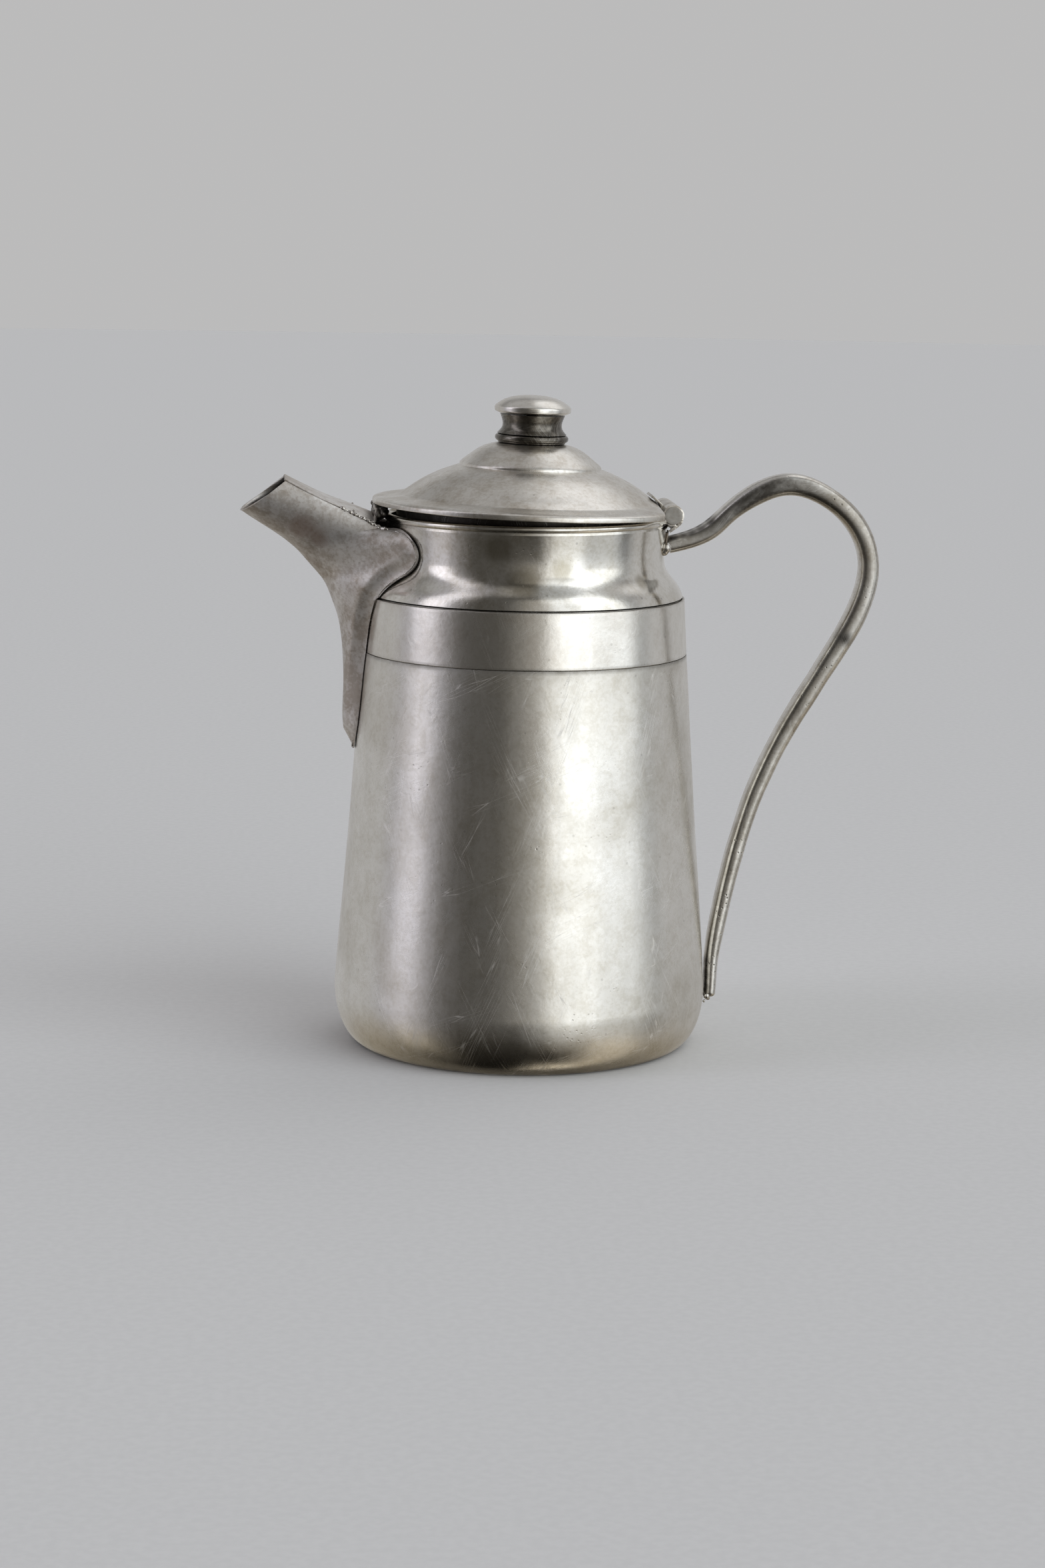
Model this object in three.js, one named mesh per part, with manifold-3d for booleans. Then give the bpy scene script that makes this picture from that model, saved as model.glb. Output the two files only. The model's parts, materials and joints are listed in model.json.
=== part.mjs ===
// Silver coffee pot: a tapered body with a plain band, a flared neck, a soldered spout with a roof,
// a strap handle and a hinged domed lid with a turned knob.
// Millimetres, +Z up. The origin is the middle of the flat base, the spout points to -X and the
// handle to +X. The lid stands slightly open, resting on the turned-up end of the spout's roof.

import * as THREE from 'three';
import { mergeVertices } from 'three/addons/utils/BufferGeometryUtils.js';
import Module from 'manifold-3d';

const wasm = await Module();
wasm.setup();

// ---------------------------------------------------------------- driving dimensions
const WALL = 1.0;            // sheet thickness of body, neck and lid
const SPOUT_WALL = 0.9;      // sheet thickness of the spout and its roof
const GAP = 0.3;             // clearance between neighbouring pieces
const ROUND = 36;            // facets round the pot and lid
const SMALL_ROUND = 20;      // facets round the knob and hinge

const BASE_R = 51;           // flat standing face
const BELLY_R = 59.8;        // widest radius
const BELLY_Z = 18.3;
const BODY_TOP_Z = 135.2;    // hidden joint between body and neck, under the band
const BAND_LOW_Z = 126.5;
const BAND_HIGH_Z = 144.2;
const BAND_LOW_R = 51.6;
const BAND_HIGH_R = 50.6;
const BAND_THICK = 0.8;
const RIM_R = 45.4;          // outside of the mouth wire
const RIM_LOW_Z = 167.8;
const RIM_HIGH_Z = 170.3;
const RIM_DEEP = 2.3;

const HINGE_X = 45.2;
const HINGE_Z = 171.1;
const PIN_R = 2.1;
const KNUCKLE_R = 3.3;
const BARREL_HALF = 14;      // half length of the hinge barrel
const LID_KNUCKLE_HALF = 6.6;

const LID_AJAR = 1.7;        // degrees that the lid stands open at rest
const LID_X = 0.4;           // lid axis, in the closed position
const LID_R = 49.6;
const LID_UNDER_Z = 170.6;
const LID_LIP = 1.8;         // height of the lid's edge
const LID_CHORD_X = 40.8;    // straight edge beside the hinge
const BEZEL_R = 41.8;
const BEZEL_LOW_Z = 165.6;

const HANDLE_WIDE = 9.2;     // handle width across the pot's plane
const SILVER = 0xb9b6af;
const DARK_SILVER = 0x6c665c;

const pot = new THREE.Group();

// ---------------------------------------------------------------- geometry helpers
function signedVolume(geometry) {
  const p = geometry.attributes.position;
  const index = geometry.index;
  const a = new THREE.Vector3();
  const b = new THREE.Vector3();
  const c = new THREE.Vector3();
  let volume = 0;
  for (let i = 0; i < index.count; i += 3) {
    a.fromBufferAttribute(p, index.getX(i));
    b.fromBufferAttribute(p, index.getX(i + 1));
    c.fromBufferAttribute(p, index.getX(i + 2));
    volume += a.dot(b.cross(c)) / 6;
  }
  return volume;
}

// A welded geometry of positions only, with its faces pointing out.
function welded(geometry) {
  geometry.deleteAttribute('normal');
  geometry.deleteAttribute('uv');
  const merged = mergeVertices(geometry, 1e-4);
  const kept = [];
  for (let i = 0; i < merged.index.count; i += 3) {
    const [a, b, c] = [0, 1, 2].map((k) => merged.index.getX(i + k));
    if (a !== b && b !== c && c !== a) kept.push([a, b, c]);
  }
  merged.setIndex(kept.flat());
  if (signedVolume(merged) < 0) {
    merged.setIndex(kept.map(([a, b, c]) => [a, c, b]).flat());
  }
  return merged;
}

function toSolid(geometry) {
  return new wasm.Manifold(new wasm.Mesh({
    numProp: 3,
    vertProperties: new Float32Array(geometry.attributes.position.array),
    triVerts: new Uint32Array(geometry.index.array),
  }));
}

function toGeometry(solid) {
  const mesh = solid.getMesh();
  const geometry = new THREE.BufferGeometry();
  geometry.setAttribute('position', new THREE.BufferAttribute(new Float32Array(mesh.vertProperties), 3));
  geometry.setIndex(Array.from(mesh.triVerts));
  return geometry;
}

// The body of a solid that is left when crumbs from a cut are dropped.
function largest(solid) {
  return solid.decompose().reduce((best, piece) => (piece.volume() > best.volume() ? piece : best));
}

// Revolves [radius, height] points round Z. The outline starts and ends on the axis or is a loop.
function revolve(outline, facets = ROUND) {
  const points = outline.map(([r, z]) => new THREE.Vector2(r, z));
  const closed = outline[0][0] > 0;
  if (closed) points.push(points[0].clone());
  const geometry = new THREE.LatheGeometry(points, facets);
  geometry.rotateX(Math.PI / 2);
  return welded(geometry);
}

// Skins a row of closed rings, with a flat cap on each end.
function loft(rings) {
  const n = rings[0].length;
  const vertices = rings.flat().flatMap((v) => [v.x, v.y, v.z]);
  const faces = [];
  for (let i = 0; i + 1 < rings.length; i += 1) {
    for (let j = 0; j < n; j += 1) {
      const a = i * n + j;
      const b = i * n + ((j + 1) % n);
      faces.push(a, b, b + n, a, b + n, a + n);
    }
  }
  const last = (rings.length - 1) * n;
  for (let j = 1; j + 1 < n; j += 1) {
    faces.push(0, j + 1, j, last, last + j, last + j + 1);
  }
  const geometry = new THREE.BufferGeometry();
  geometry.setAttribute('position', new THREE.Float32BufferAttribute(vertices, 3));
  geometry.setIndex(faces);
  return welded(geometry);
}

// Gives a grid of points a thickness on the side away from its normals.
function sheet(grid, thickness) {
  const rows = grid.length;
  const columns = grid[0].length;
  const step = (i, j) => grid[Math.min(Math.max(i, 0), rows - 1)][Math.min(Math.max(j, 0), columns - 1)];
  const inner = grid.map((row, i) => row.map((point, j) => {
    const along = step(i + 1, j).clone().sub(step(i - 1, j));
    const across = step(i, j + 1).clone().sub(step(i, j - 1));
    return point.clone().addScaledVector(along.cross(across).normalize(), -thickness);
  }));
  return loft(grid.map((row, i) => [...row, ...inner[i].slice().reverse()]));
}

function bar(outline, low, high) {
  const shape = new THREE.Shape(outline.map(([x, z]) => new THREE.Vector2(x, z)));
  const geometry = new THREE.ExtrudeGeometry(shape, { depth: high - low, bevelEnabled: false });
  geometry.rotateX(Math.PI / 2);
  geometry.translate(0, high, 0);
  return welded(geometry);
}

function arc(x, z, radius, from, to, steps) {
  const points = [];
  for (let i = 0; i <= steps; i += 1) {
    const angle = THREE.MathUtils.degToRad(from + ((to - from) * i) / steps);
    points.push([x + radius * Math.cos(angle), z + radius * Math.sin(angle)]);
  }
  return points;
}

function spline(points, steps) {
  const curve = new THREE.SplineCurve(points.map(([r, z]) => new THREE.Vector2(r, z)));
  return curve.getPoints(steps).map((p) => [p.x, p.y]);
}

// Moves an outline sideways by a distance, to the left of its direction.
function offset(points, distance) {
  return points.map(([r, z], i) => {
    const [r0, z0] = points[Math.max(i - 1, 0)];
    const [r1, z1] = points[Math.min(i + 1, points.length - 1)];
    const size = Math.hypot(r1 - r0, z1 - z0);
    return [r - (distance * (z1 - z0)) / size, z + (distance * (r1 - r0)) / size];
  });
}

function addPiece(name, geometry, colour = SILVER, roughness = 0.28, parent = pot) {
  geometry.computeVertexNormals();
  const material = new THREE.MeshStandardMaterial({ color: colour, roughness, metalness: 1 });
  const mesh = new THREE.Mesh(geometry, material);
  mesh.name = name;
  parent.add(mesh);
}

// ---------------------------------------------------------------- outlines of the pot
const bandInnerR = (z) => {
  const t = (z - BAND_LOW_Z) / (BAND_HIGH_Z - BAND_LOW_Z);
  return BAND_LOW_R + t * (BAND_HIGH_R - BAND_LOW_R) - BAND_THICK;
};
const hiddenR = (z) => bandInnerR(z) - GAP;

const bodyOutside = [
  ...arc(0, 1, 1, -90, 0, 5).map(([c, s]) => [
    BASE_R + (BELLY_R - BASE_R) * c,
    BELLY_Z * s,
  ]),
  ...spline([[BELLY_R, BELLY_Z], [58.5, 36.4], [55.95, 67.2], [53.8, 97], [51.6, 126.4]], 6).slice(1),
];
const neckOutside = spline(
  [[50.0, 144.8], [48.3, 148.3], [45.2, 152.2], [43.8, 156.2], [44.0, 161.5], [44.7, 167.4]],
  11,
);

// Radius of the pot's outside at a height, with the band and the mouth wire.
function potR(z) {
  if (z >= RIM_LOW_Z - 0.1) return RIM_R;
  if (z >= BAND_LOW_Z - 0.1 && z <= BAND_HIGH_Z + 0.1) return bandInnerR(z) + BAND_THICK;
  const line = [...bodyOutside, ...neckOutside];
  const above = line.findIndex((point) => point[1] >= z);
  if (above <= 0) return line[above === 0 ? 0 : line.length - 1][0];
  const [r0, z0] = line[above - 1];
  const [r1, z1] = line[above];
  return r0 + ((r1 - r0) * (z - z0)) / (z1 - z0);
}

// ---------------------------------------------------------------- body, band, neck and mouth wire
// Round holes pierced through the wall behind the spout.
function pierce(geometry, rows) {
  let solid = toSolid(geometry);
  for (const { z, angles, radius } of rows) {
    for (const angle of angles) {
      const drill = new THREE.CylinderGeometry(radius, radius, 12, 10);
      drill.rotateZ(Math.PI / 2);
      drill.translate(-potR(z), 0, 0);
      drill.rotateZ(THREE.MathUtils.degToRad(angle));
      drill.translate(0, 0, z);
      solid = solid.subtract(toSolid(welded(drill)));
    }
  }
  return toGeometry(largest(solid));
}

const underBand = [[hiddenR(BAND_LOW_Z), BAND_LOW_Z - 0.2], [hiddenR(BODY_TOP_Z), BODY_TOP_Z]];
const bodyLine = [...bodyOutside, ...underBand];
const bodyInside = [
  [hiddenR(BODY_TOP_Z) - WALL, BODY_TOP_Z],
  ...offset(bodyOutside, WALL).reverse().slice(0, -1).filter(([, z]) => z > WALL),
  [BASE_R - 1, WALL],
];
addPiece('body_shell', pierce(
  revolve([[0, 0], ...bodyLine, ...bodyInside, [0, WALL]]),
  [{ z: 104, angles: [0], radius: 1.6 }, { z: 110, angles: [0], radius: 1.6 },
    { z: 116, angles: [0], radius: 1.6 }],
), SILVER, 0.3);

addPiece('neck_band', revolve([
  [bandInnerR(BAND_LOW_Z), BAND_LOW_Z],
  [BAND_LOW_R, BAND_LOW_Z],
  [BAND_HIGH_R, BAND_HIGH_Z],
  [bandInnerR(BAND_HIGH_Z), BAND_HIGH_Z],
]), SILVER, 0.26);

const neckStartZ = BODY_TOP_Z + GAP;
const neckLine = [
  [hiddenR(neckStartZ), neckStartZ],
  [hiddenR(BAND_HIGH_Z), BAND_HIGH_Z + 0.1],
  ...neckOutside,
];
addPiece('neck_shell', pierce(
  revolve([...neckLine, ...offset(neckLine, WALL).reverse()]),
  [{ z: 149.8, angles: [-9, 0, 9], radius: 1.8 }, { z: 154.6, angles: [-13, -4.5, 4.5, 13], radius: 1.8 },
    { z: 159.4, angles: [-9, 0, 9], radius: 1.8 }],
), SILVER, 0.28);

// The mouth wire is let in round the hinge barrel.
const hingeRecess = bar(
  arc(HINGE_X, HINGE_Z, KNUCKLE_R + GAP, 0, 330, 11),
  -BARREL_HALF - 0.4,
  BARREL_HALF + 0.4,
);
const rimMiddleZ = (RIM_LOW_Z + RIM_HIGH_Z) / 2;
const rimLoop = arc(0, 0, 1, -165, 165, 11).map(([c, s]) => [
  RIM_R - RIM_DEEP / 2 + (RIM_DEEP / 2) * c,
  rimMiddleZ + ((RIM_HIGH_Z - RIM_LOW_Z) / 2) * s,
]);
addPiece('rim_wire', toGeometry(largest(
  toSolid(revolve(rimLoop)).subtract(toSolid(hingeRecess)),
)), SILVER, 0.22);

// ---------------------------------------------------------------- spout
// Four guide lines of one half, from the tip on the body to the lip, each point [x, y, z]:
// the sheet's soldered edge, the two Bezier handles of its cross curve, and the nose.
const spoutEdge = [
  [-54.9, 0.9, 95.2], [-53.8, 4.6, 103], [-52.7, 6.5, 114], [-51.6, 7.8, 125], [-50.0, 11.4, 137],
  [-48.0, 15.9, 144.4], [-44.0, 20.6, 150], [-39.0, 24.8, 153.8], [-36.3, 26.8, 158.6],
  [-38.0, 25.3, 163.2], [-41.4, 19.6, 165.6], [-46.0, 15.2, 165.7], [-49.3, 14, 167.2],
  [-57.6, 13, 171.2], [-66, 12.2, 174.8], [-76.8, 10.4, 180.2],
];
const spoutFlank = [
  [-55.2, 0.9, 95.2], [-55.3, 4.6, 103], [-54.9, 6.4, 114], [-54.5, 7.6, 125], [-53.8, 10.6, 136.6],
  [-52.8, 13.4, 143.4], [-51.2, 14.8, 148.8], [-47.0, 15.4, 152.8], [-44.8, 15.6, 157.8],
  [-47.2, 15.4, 162], [-51.5, 15, 164.2], [-56, 15, 164.6], [-60, 15.2, 165.4],
  [-67.4, 14.8, 168.6], [-75.4, 14.4, 171.8], [-83.2, 14, 175.2],
];
const spoutNose = [
  [-55.0, 0, 94.8], [-57.1, 0, 103], [-57.0, 0, 114], [-57.4, 0, 125.5], [-58.6, 0, 135.5],
  [-60.6, 0, 142], [-62.6, 0, 147], [-64.6, 0, 150.2], [-67.1, 0, 153], [-69.6, 0, 155.8],
  [-72.1, 0, 158.6], [-75.0, 0, 161.2], [-77.9, 0, 163.4], [-82.6, 0, 166.4], [-86.8, 0, 168.9],
  [-90.4, 0, 171.2],
];
const spoutNoseWide = [0.8, 2.8, 3.4, 4, 5, 6, 6.8, 7.4, 8, 8.5, 9, 9.4, 9.6, 9.6, 9.5, 9.4];
const SPOUT_STATIONS = 30;
const SPOUT_ACROSS = 6;      // spans from the soldered edge to the nose

function guide(points) {
  return new THREE.CatmullRomCurve3(points.map((p) => new THREE.Vector3(...p)));
}

function spoutGrid() {
  const edge = guide(spoutEdge);
  const flank = guide(spoutFlank);
  const nose = guide(spoutNose);
  const wide = guide(spoutNoseWide.map((w, i) => [i, w, 0]));
  const grid = [];
  for (let i = 0; i <= SPOUT_STATIONS; i += 1) {
    const t = i / SPOUT_STATIONS;
    const tip = nose.getPoint(t);
    const shoulder = tip.clone().setY(wide.getPoint(t).y);
    const half = new THREE.CubicBezierCurve3(edge.getPoint(t), flank.getPoint(t), shoulder, tip);
    const points = half.getPoints(SPOUT_ACROSS);
    const mirrored = points.slice(0, -1).reverse().map((p) => p.clone().setY(-p.y));
    grid.push([...points, ...mirrored]);
  }
  return grid;
}

// The pot's outside grown by the clearance, to keep soldered pieces just off it.
const potClearance = toSolid(revolve([
  [0, 60],
  ...Array.from({ length: 45 }, (_, i) => 60 + i * 2.5).map((z) => [potR(z) + GAP, z]),
  [0, 170],
]));
addPiece('spout_shell', toGeometry(largest(
  toSolid(sheet(spoutGrid(), SPOUT_WALL)).subtract(potClearance),
)), SILVER, 0.34);

// The arched roof lies on the sheet's two upper edges and ends in a turned-up stop for the lid.
const ROOF_STOP_Z = 172.4;
const ROOF_ARCH_BACK = 2.0;
const ROOF_ARCH_FRONT = 0.5;
function roofGrid() {
  const edge = guide(spoutEdge);
  const first = (spoutEdge.length - 4) / (spoutEdge.length - 1);
  const stations = [];
  for (let i = 0; i <= 10; i += 1) {
    const p = edge.getPoint(first + ((1 - first) * i) / 10);
    const arch = ROOF_ARCH_BACK + (ROOF_ARCH_FRONT - ROOF_ARCH_BACK) * Math.min(1, i / 6);
    stations.push([p.x, p.y + 0.3, p.z + GAP + SPOUT_WALL, arch]);
  }
  const [backX, backY] = stations[0];
  stations.unshift([backX + 0.7, backY - 3, ROOF_STOP_Z, 0]);
  return stations.map(([x, y, z, arch]) => {
    const row = [];
    for (let j = 0; j <= 8; j += 1) {
      const across = -1 + j / 4;
      row.push(new THREE.Vector3(x, -across * y, z + arch * (1 - across * across)));
    }
    return row;
  });
}
addPiece('spout_roof', sheet(roofGrid(), SPOUT_WALL), SILVER, 0.34);

// ---------------------------------------------------------------- handle
// Points [x, z, thickness] down the middle of the bar, from the neck over the arch to the foot.
const handlePoints = [
  [45.2, 160.6, 5.3], [51.8, 162.3, 5.6], [58.2, 165.3, 6.0], [63.4, 169.9, 6.2], [68.4, 174.0, 6.4],
  [74.6, 177.8, 6.7], [82.5, 180.2, 7.0], [91.3, 178.8, 6.7], [99.6, 173.9, 6.3], [105.9, 167.2, 6.3],
  [109.6, 158.3, 6.5], [109.7, 149.6, 6.8], [106.9, 139.9, 6.9], [101.4, 129.5, 6.7],
  [94.1, 117.2, 6.5], [86.9, 105.3, 6.3], [80.4, 92.9, 6.1], [75.0, 80.5, 5.9], [70.7, 67, 5.7],
  [67.0, 52, 5.5], [64.4, 39, 5.2], [62.6, 27.5, 4.6], [62.2, 19, 4.0], [62.0, 13.4, 3.8],
];
const handleLine = new THREE.CatmullRomCurve3(handlePoints.map(([x, z]) => new THREE.Vector3(x, 0, z)));
const HANDLE_STATIONS = 48;
const HANDLE_FACETS = 12;

// A rounded-rectangle ring: a superellipse of half sizes a (in plane) and b (across).
function handleRing(t) {
  const centre = handleLine.getPoint(t);
  const along = handleLine.getTangent(t);
  const outward = new THREE.Vector3(-along.z, 0, along.x);
  const place = t * (handlePoints.length - 1);
  const k = Math.min(Math.floor(place), handlePoints.length - 2);
  const deep = THREE.MathUtils.lerp(handlePoints[k][2], handlePoints[k + 1][2], place - k);
  const squareness = 0.72;
  const ring = [];
  for (let j = 0; j < HANDLE_FACETS; j += 1) {
    const angle = (2 * Math.PI * (j + 0.5)) / HANDLE_FACETS;
    const c = Math.cos(angle);
    const s = Math.sin(angle);
    const a = (deep / 2) * Math.sign(c) * Math.abs(c) ** squareness;
    const b = (HANDLE_WIDE / 2) * Math.sign(s) * Math.abs(s) ** squareness;
    ring.push(centre.clone().addScaledVector(outward, a).add(new THREE.Vector3(0, b, 0)));
  }
  return ring;
}

// A saddle plate follows the neck under the mouth wire and carries the handle's upper end.
const SADDLE_LOW_Z = 158.4;
const SADDLE_HIGH_Z = 165.3;
const SADDLE_HALF_ANGLE = 11;
const SADDLE_THICK = 1.1;
function saddleGrid() {
  const grid = [];
  for (let i = 0; i <= 4; i += 1) {
    const z = SADDLE_LOW_Z + ((SADDLE_HIGH_Z - SADDLE_LOW_Z) * i) / 4;
    const radius = potR(z) + GAP + 0.1 + SADDLE_THICK;
    const row = [];
    for (let j = 0; j <= 12; j += 1) {
      const angle = THREE.MathUtils.degToRad(SADDLE_HALF_ANGLE * (j / 6 - 1));
      row.push(new THREE.Vector3(radius * Math.cos(angle), radius * Math.sin(angle), z));
    }
    grid.push(row.reverse());
  }
  return grid;
}
addPiece('handle_saddle', sheet(saddleGrid(), SADDLE_THICK), DARK_SILVER, 0.45);

const handleClearance = toSolid(revolve([
  [0, -1],
  [BASE_R + GAP, -1],
  ...bodyOutside.map(([r, z]) => [r + GAP, z]),
  ...neckOutside.map(([r, z]) => [r + 2 * GAP + 0.1 + SADDLE_THICK, z]),
  [RIM_R + 2, RIM_HIGH_Z],
  [0, RIM_HIGH_Z],
]));
const handleRings = Array.from({ length: HANDLE_STATIONS + 1 }, (_, i) => handleRing(i / HANDLE_STATIONS));
addPiece('handle_bar', toGeometry(largest(
  toSolid(loft(handleRings)).subtract(handleClearance),
)), SILVER, 0.3);

// ---------------------------------------------------------------- hinge, fixed side
const KNUCKLE_BORE = PIN_R + GAP;
const LEAF_THICK = 0.9;

// The leaf rises from the saddle, passes outside the mouth wire and curls over the pin.
function leafCurl(low, high) {
  const outer = arc(HINGE_X, HINGE_Z, KNUCKLE_R, -28, 215, 12);
  const inner = arc(HINGE_X, HINGE_Z, KNUCKLE_BORE, -28, 215, 12).reverse();
  return bar([...outer, ...inner], low, high);
}
const LEAF_FOOT_R = 46.3;
const LEAF_FOOT_Z = 165.7;
const LEAF_TOP_X = HINGE_X + KNUCKLE_R * Math.cos(THREE.MathUtils.degToRad(24));
const LEAF_TOP_Z = HINGE_Z - KNUCKLE_R * Math.sin(THREE.MathUtils.degToRad(24));
function leafGrid() {
  const grid = [];
  for (let i = 0; i <= 4; i += 1) {
    const t = i / 4;
    const row = [];
    for (let j = 0; j <= 8; j += 1) {
      const y = BARREL_HALF * (j / 4 - 1);
      const footX = Math.sqrt(LEAF_FOOT_R ** 2 - y ** 2);
      const x = THREE.MathUtils.lerp(footX, LEAF_TOP_X, Math.sin((t * Math.PI) / 2));
      row.push(new THREE.Vector3(x, -y, THREE.MathUtils.lerp(LEAF_FOOT_Z, LEAF_TOP_Z, t)));
    }
    grid.push(row);
  }
  return grid;
}
const fixedKnuckles = [[-BARREL_HALF, -LID_KNUCKLE_HALF - GAP], [LID_KNUCKLE_HALF + GAP, BARREL_HALF]];
const plateSolid = toSolid(sheet(leafGrid(), LEAF_THICK)).subtract(potClearance);
const lidSweepRoom = toSolid(bar(
  arc(HINGE_X, HINGE_Z, KNUCKLE_R + GAP, 0, 330, 11),
  -LID_KNUCKLE_HALF - GAP,
  LID_KNUCKLE_HALF + GAP,
));
const fixedLeaf = fixedKnuckles.reduce(
  (solid, [low, high]) => solid.add(toSolid(leafCurl(low, high))),
  plateSolid.subtract(lidSweepRoom),
);
addPiece('hinge_leaf_body', toGeometry(largest(fixedLeaf)), SILVER, 0.3);

addPiece('hinge_pin', bar(arc(HINGE_X, HINGE_Z, PIN_R, 0, 345, 23), -BARREL_HALF - 0.2, BARREL_HALF + 0.2),
  DARK_SILVER, 0.45);

// ---------------------------------------------------------------- lid
// The lid's pieces are drawn closed, in a group turned about the hinge pin.
const lid = new THREE.Group();
lid.position.set(HINGE_X, 0, HINGE_Z);
lid.rotation.y = THREE.MathUtils.degToRad(LID_AJAR);
pot.add(lid);

function addLidPiece(name, geometry, colour, roughness) {
  geometry.translate(-HINGE_X, 0, -HINGE_Z);
  addPiece(name, geometry, colour, roughness, lid);
}

function lidRevolve(outline, facets = ROUND) {
  return revolve(outline, facets).translate(LID_X, 0, 0);
}

const STEP_R = 22.4;
const STEP_Z = 183.4;
const lidTop = [
  [LID_R, LID_UNDER_Z + LID_LIP - 0.5],
  [LID_R - 0.6, LID_UNDER_Z + LID_LIP],
  [41, 173.9],
  ...spline([[38.6, 175.7], [35, 178.1], [29.1, 181.2], [STEP_R + 0.7, STEP_Z]], 5),
  [STEP_R, STEP_Z + 0.1],
  [STEP_R, STEP_Z + 1.2],
  ...spline([[21.6, 185.0], [18.9, 187.3], [15.2, 189.7], [10.5, 191.1]], 5),
];
const LID_TOP_Z = 191.5;
const STUD_R = 2.0;
const lidUnder = [
  [STUD_R + GAP, LID_TOP_Z - WALL],
  ...offset(lidTop.slice(9), WALL).reverse(),
  [STEP_R - WALL, STEP_Z - 0.4],
  ...offset(lidTop.slice(2, 8), WALL).reverse(),
  [LID_R - WALL, LID_UNDER_Z + LID_LIP - WALL],
  [LID_R - WALL, LID_UNDER_Z],
];
const chordCut = bar(
  [[LID_CHORD_X, 150], [80, 150], [80, 200], [LID_CHORD_X, 200]],
  -60,
  60,
);
const lidPlain = toSolid(lidRevolve([
  [LID_R, LID_UNDER_Z],
  ...lidTop,
  [STUD_R + GAP, LID_TOP_Z],
  ...lidUnder,
]));
addLidPiece('lid_shell', toGeometry(largest(lidPlain.subtract(toSolid(chordCut)))), SILVER, 0.26);

const bezelChord = bar(
  [[LID_CHORD_X - 1.6, 150], [80, 150], [80, 200], [LID_CHORD_X - 1.6, 200]],
  -60,
  60,
);
const bezelRing = lidRevolve([
  [BEZEL_R, BEZEL_LOW_Z],
  [BEZEL_R, 172.0],
  [BEZEL_R - 0.9, 172.0],
  [BEZEL_R - 0.9, BEZEL_LOW_Z],
]);
addLidPiece('lid_bezel', toGeometry(largest(toSolid(bezelRing).subtract(toSolid(bezelChord)))), SILVER, 0.4);

// The moving leaf lies under the flange and curls up round the pin.
const lidKnuckle = toSolid(bar(
  [
    ...arc(HINGE_X, HINGE_Z, KNUCKLE_R, -140, 190, 16),
    ...arc(HINGE_X, HINGE_Z, KNUCKLE_BORE, -140, 190, 16).reverse(),
  ],
  -LID_KNUCKLE_HALF,
  LID_KNUCKLE_HALF,
));
const flangeTopZ = 172.9;
const lidLeafPlate = toSolid(bar(
  [
    [HINGE_X - KNUCKLE_BORE - 0.5, HINGE_Z + 0.9],
    [HINGE_X - KNUCKLE_BORE - 0.2, flangeTopZ + 0.9],
    [39.2, 176.7],
    [38.6, 176.1],
    [41.2, 174.3],
    [HINGE_X - KNUCKLE_R - 0.2, 173.4],
    [HINGE_X - KNUCKLE_R, HINGE_Z + 0.6],
  ],
  -LID_KNUCKLE_HALF,
  LID_KNUCKLE_HALF,
));
addLidPiece('hinge_leaf_lid', toGeometry(largest(lidKnuckle.add(lidLeafPlate))), SILVER, 0.3);

// ---------------------------------------------------------------- knob
const COLLAR_LOW_Z = 191.8;
const COLLAR_HIGH_Z = 194.0;
const SPOOL_HIGH_Z = 200.0;
const KNOB_TOP_Z = 206.3;

addLidPiece('knob_collar', lidRevolve([
  [STUD_R + GAP, COLLAR_LOW_Z],
  [10.9, COLLAR_LOW_Z],
  [11.6, COLLAR_LOW_Z + 0.6],
  [11.6, COLLAR_HIGH_Z - 0.6],
  [11.0, COLLAR_HIGH_Z],
  [STUD_R + GAP, COLLAR_HIGH_Z],
], SMALL_ROUND), SILVER, 0.3);

addLidPiece('knob_spool', lidRevolve([
  [STUD_R + GAP, COLLAR_HIGH_Z + GAP],
  ...spline([
    [10.9, COLLAR_HIGH_Z + GAP],
    [9.6, 195.7],
    [9.45, 197.3],
    [9.9, 198.9],
    [10.4, SPOOL_HIGH_Z],
  ], 8),
  [STUD_R + GAP, SPOOL_HIGH_Z],
], SMALL_ROUND), DARK_SILVER, 0.35);

// The stud's head is held inside the hollow cap; its nut clamps the knob to the lid.
const CAP_FLOOR_Z = 201.4;
addLidPiece('knob_cap', lidRevolve([
  [0, KNOB_TOP_Z - WALL],
  ...spline([[6, 205.0], [10.4, 203.3], [11.0, 202.4]], 4),
  [10.4, CAP_FLOOR_Z],
  [STUD_R + GAP, CAP_FLOOR_Z],
  [STUD_R + GAP, SPOOL_HIGH_Z + GAP],
  [10.6, SPOOL_HIGH_Z + GAP],
  [12.1, 201.2],
  [12.15, 202.2],
  ...spline([[11.7, 202.9], [9.2, 204.6], [5, 205.9]], 5),
  [0, KNOB_TOP_Z],
], SMALL_ROUND), SILVER, 0.22);

const NUT_LOW_Z = 186.9;
const NUT_HIGH_Z = 189.0;
const WASHER_LOW_Z = NUT_HIGH_Z + GAP;
const WASHER_HIGH_Z = WASHER_LOW_Z + 0.9;
const STUD_HEAD_R = 5.2;
addLidPiece('knob_stud', lidRevolve([
  [0, NUT_LOW_Z - 1.6],
  [STUD_R - 0.5, NUT_LOW_Z - 1.6],
  [STUD_R, NUT_LOW_Z - 1.1],
  [STUD_R, CAP_FLOOR_Z + GAP],
  [STUD_HEAD_R, CAP_FLOOR_Z + GAP],
  [STUD_HEAD_R, CAP_FLOOR_Z + GAP + 1.0],
  [STUD_HEAD_R - 0.6, CAP_FLOOR_Z + GAP + 1.5],
  [0, CAP_FLOOR_Z + GAP + 1.5],
], 14), DARK_SILVER, 0.4);

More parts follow.
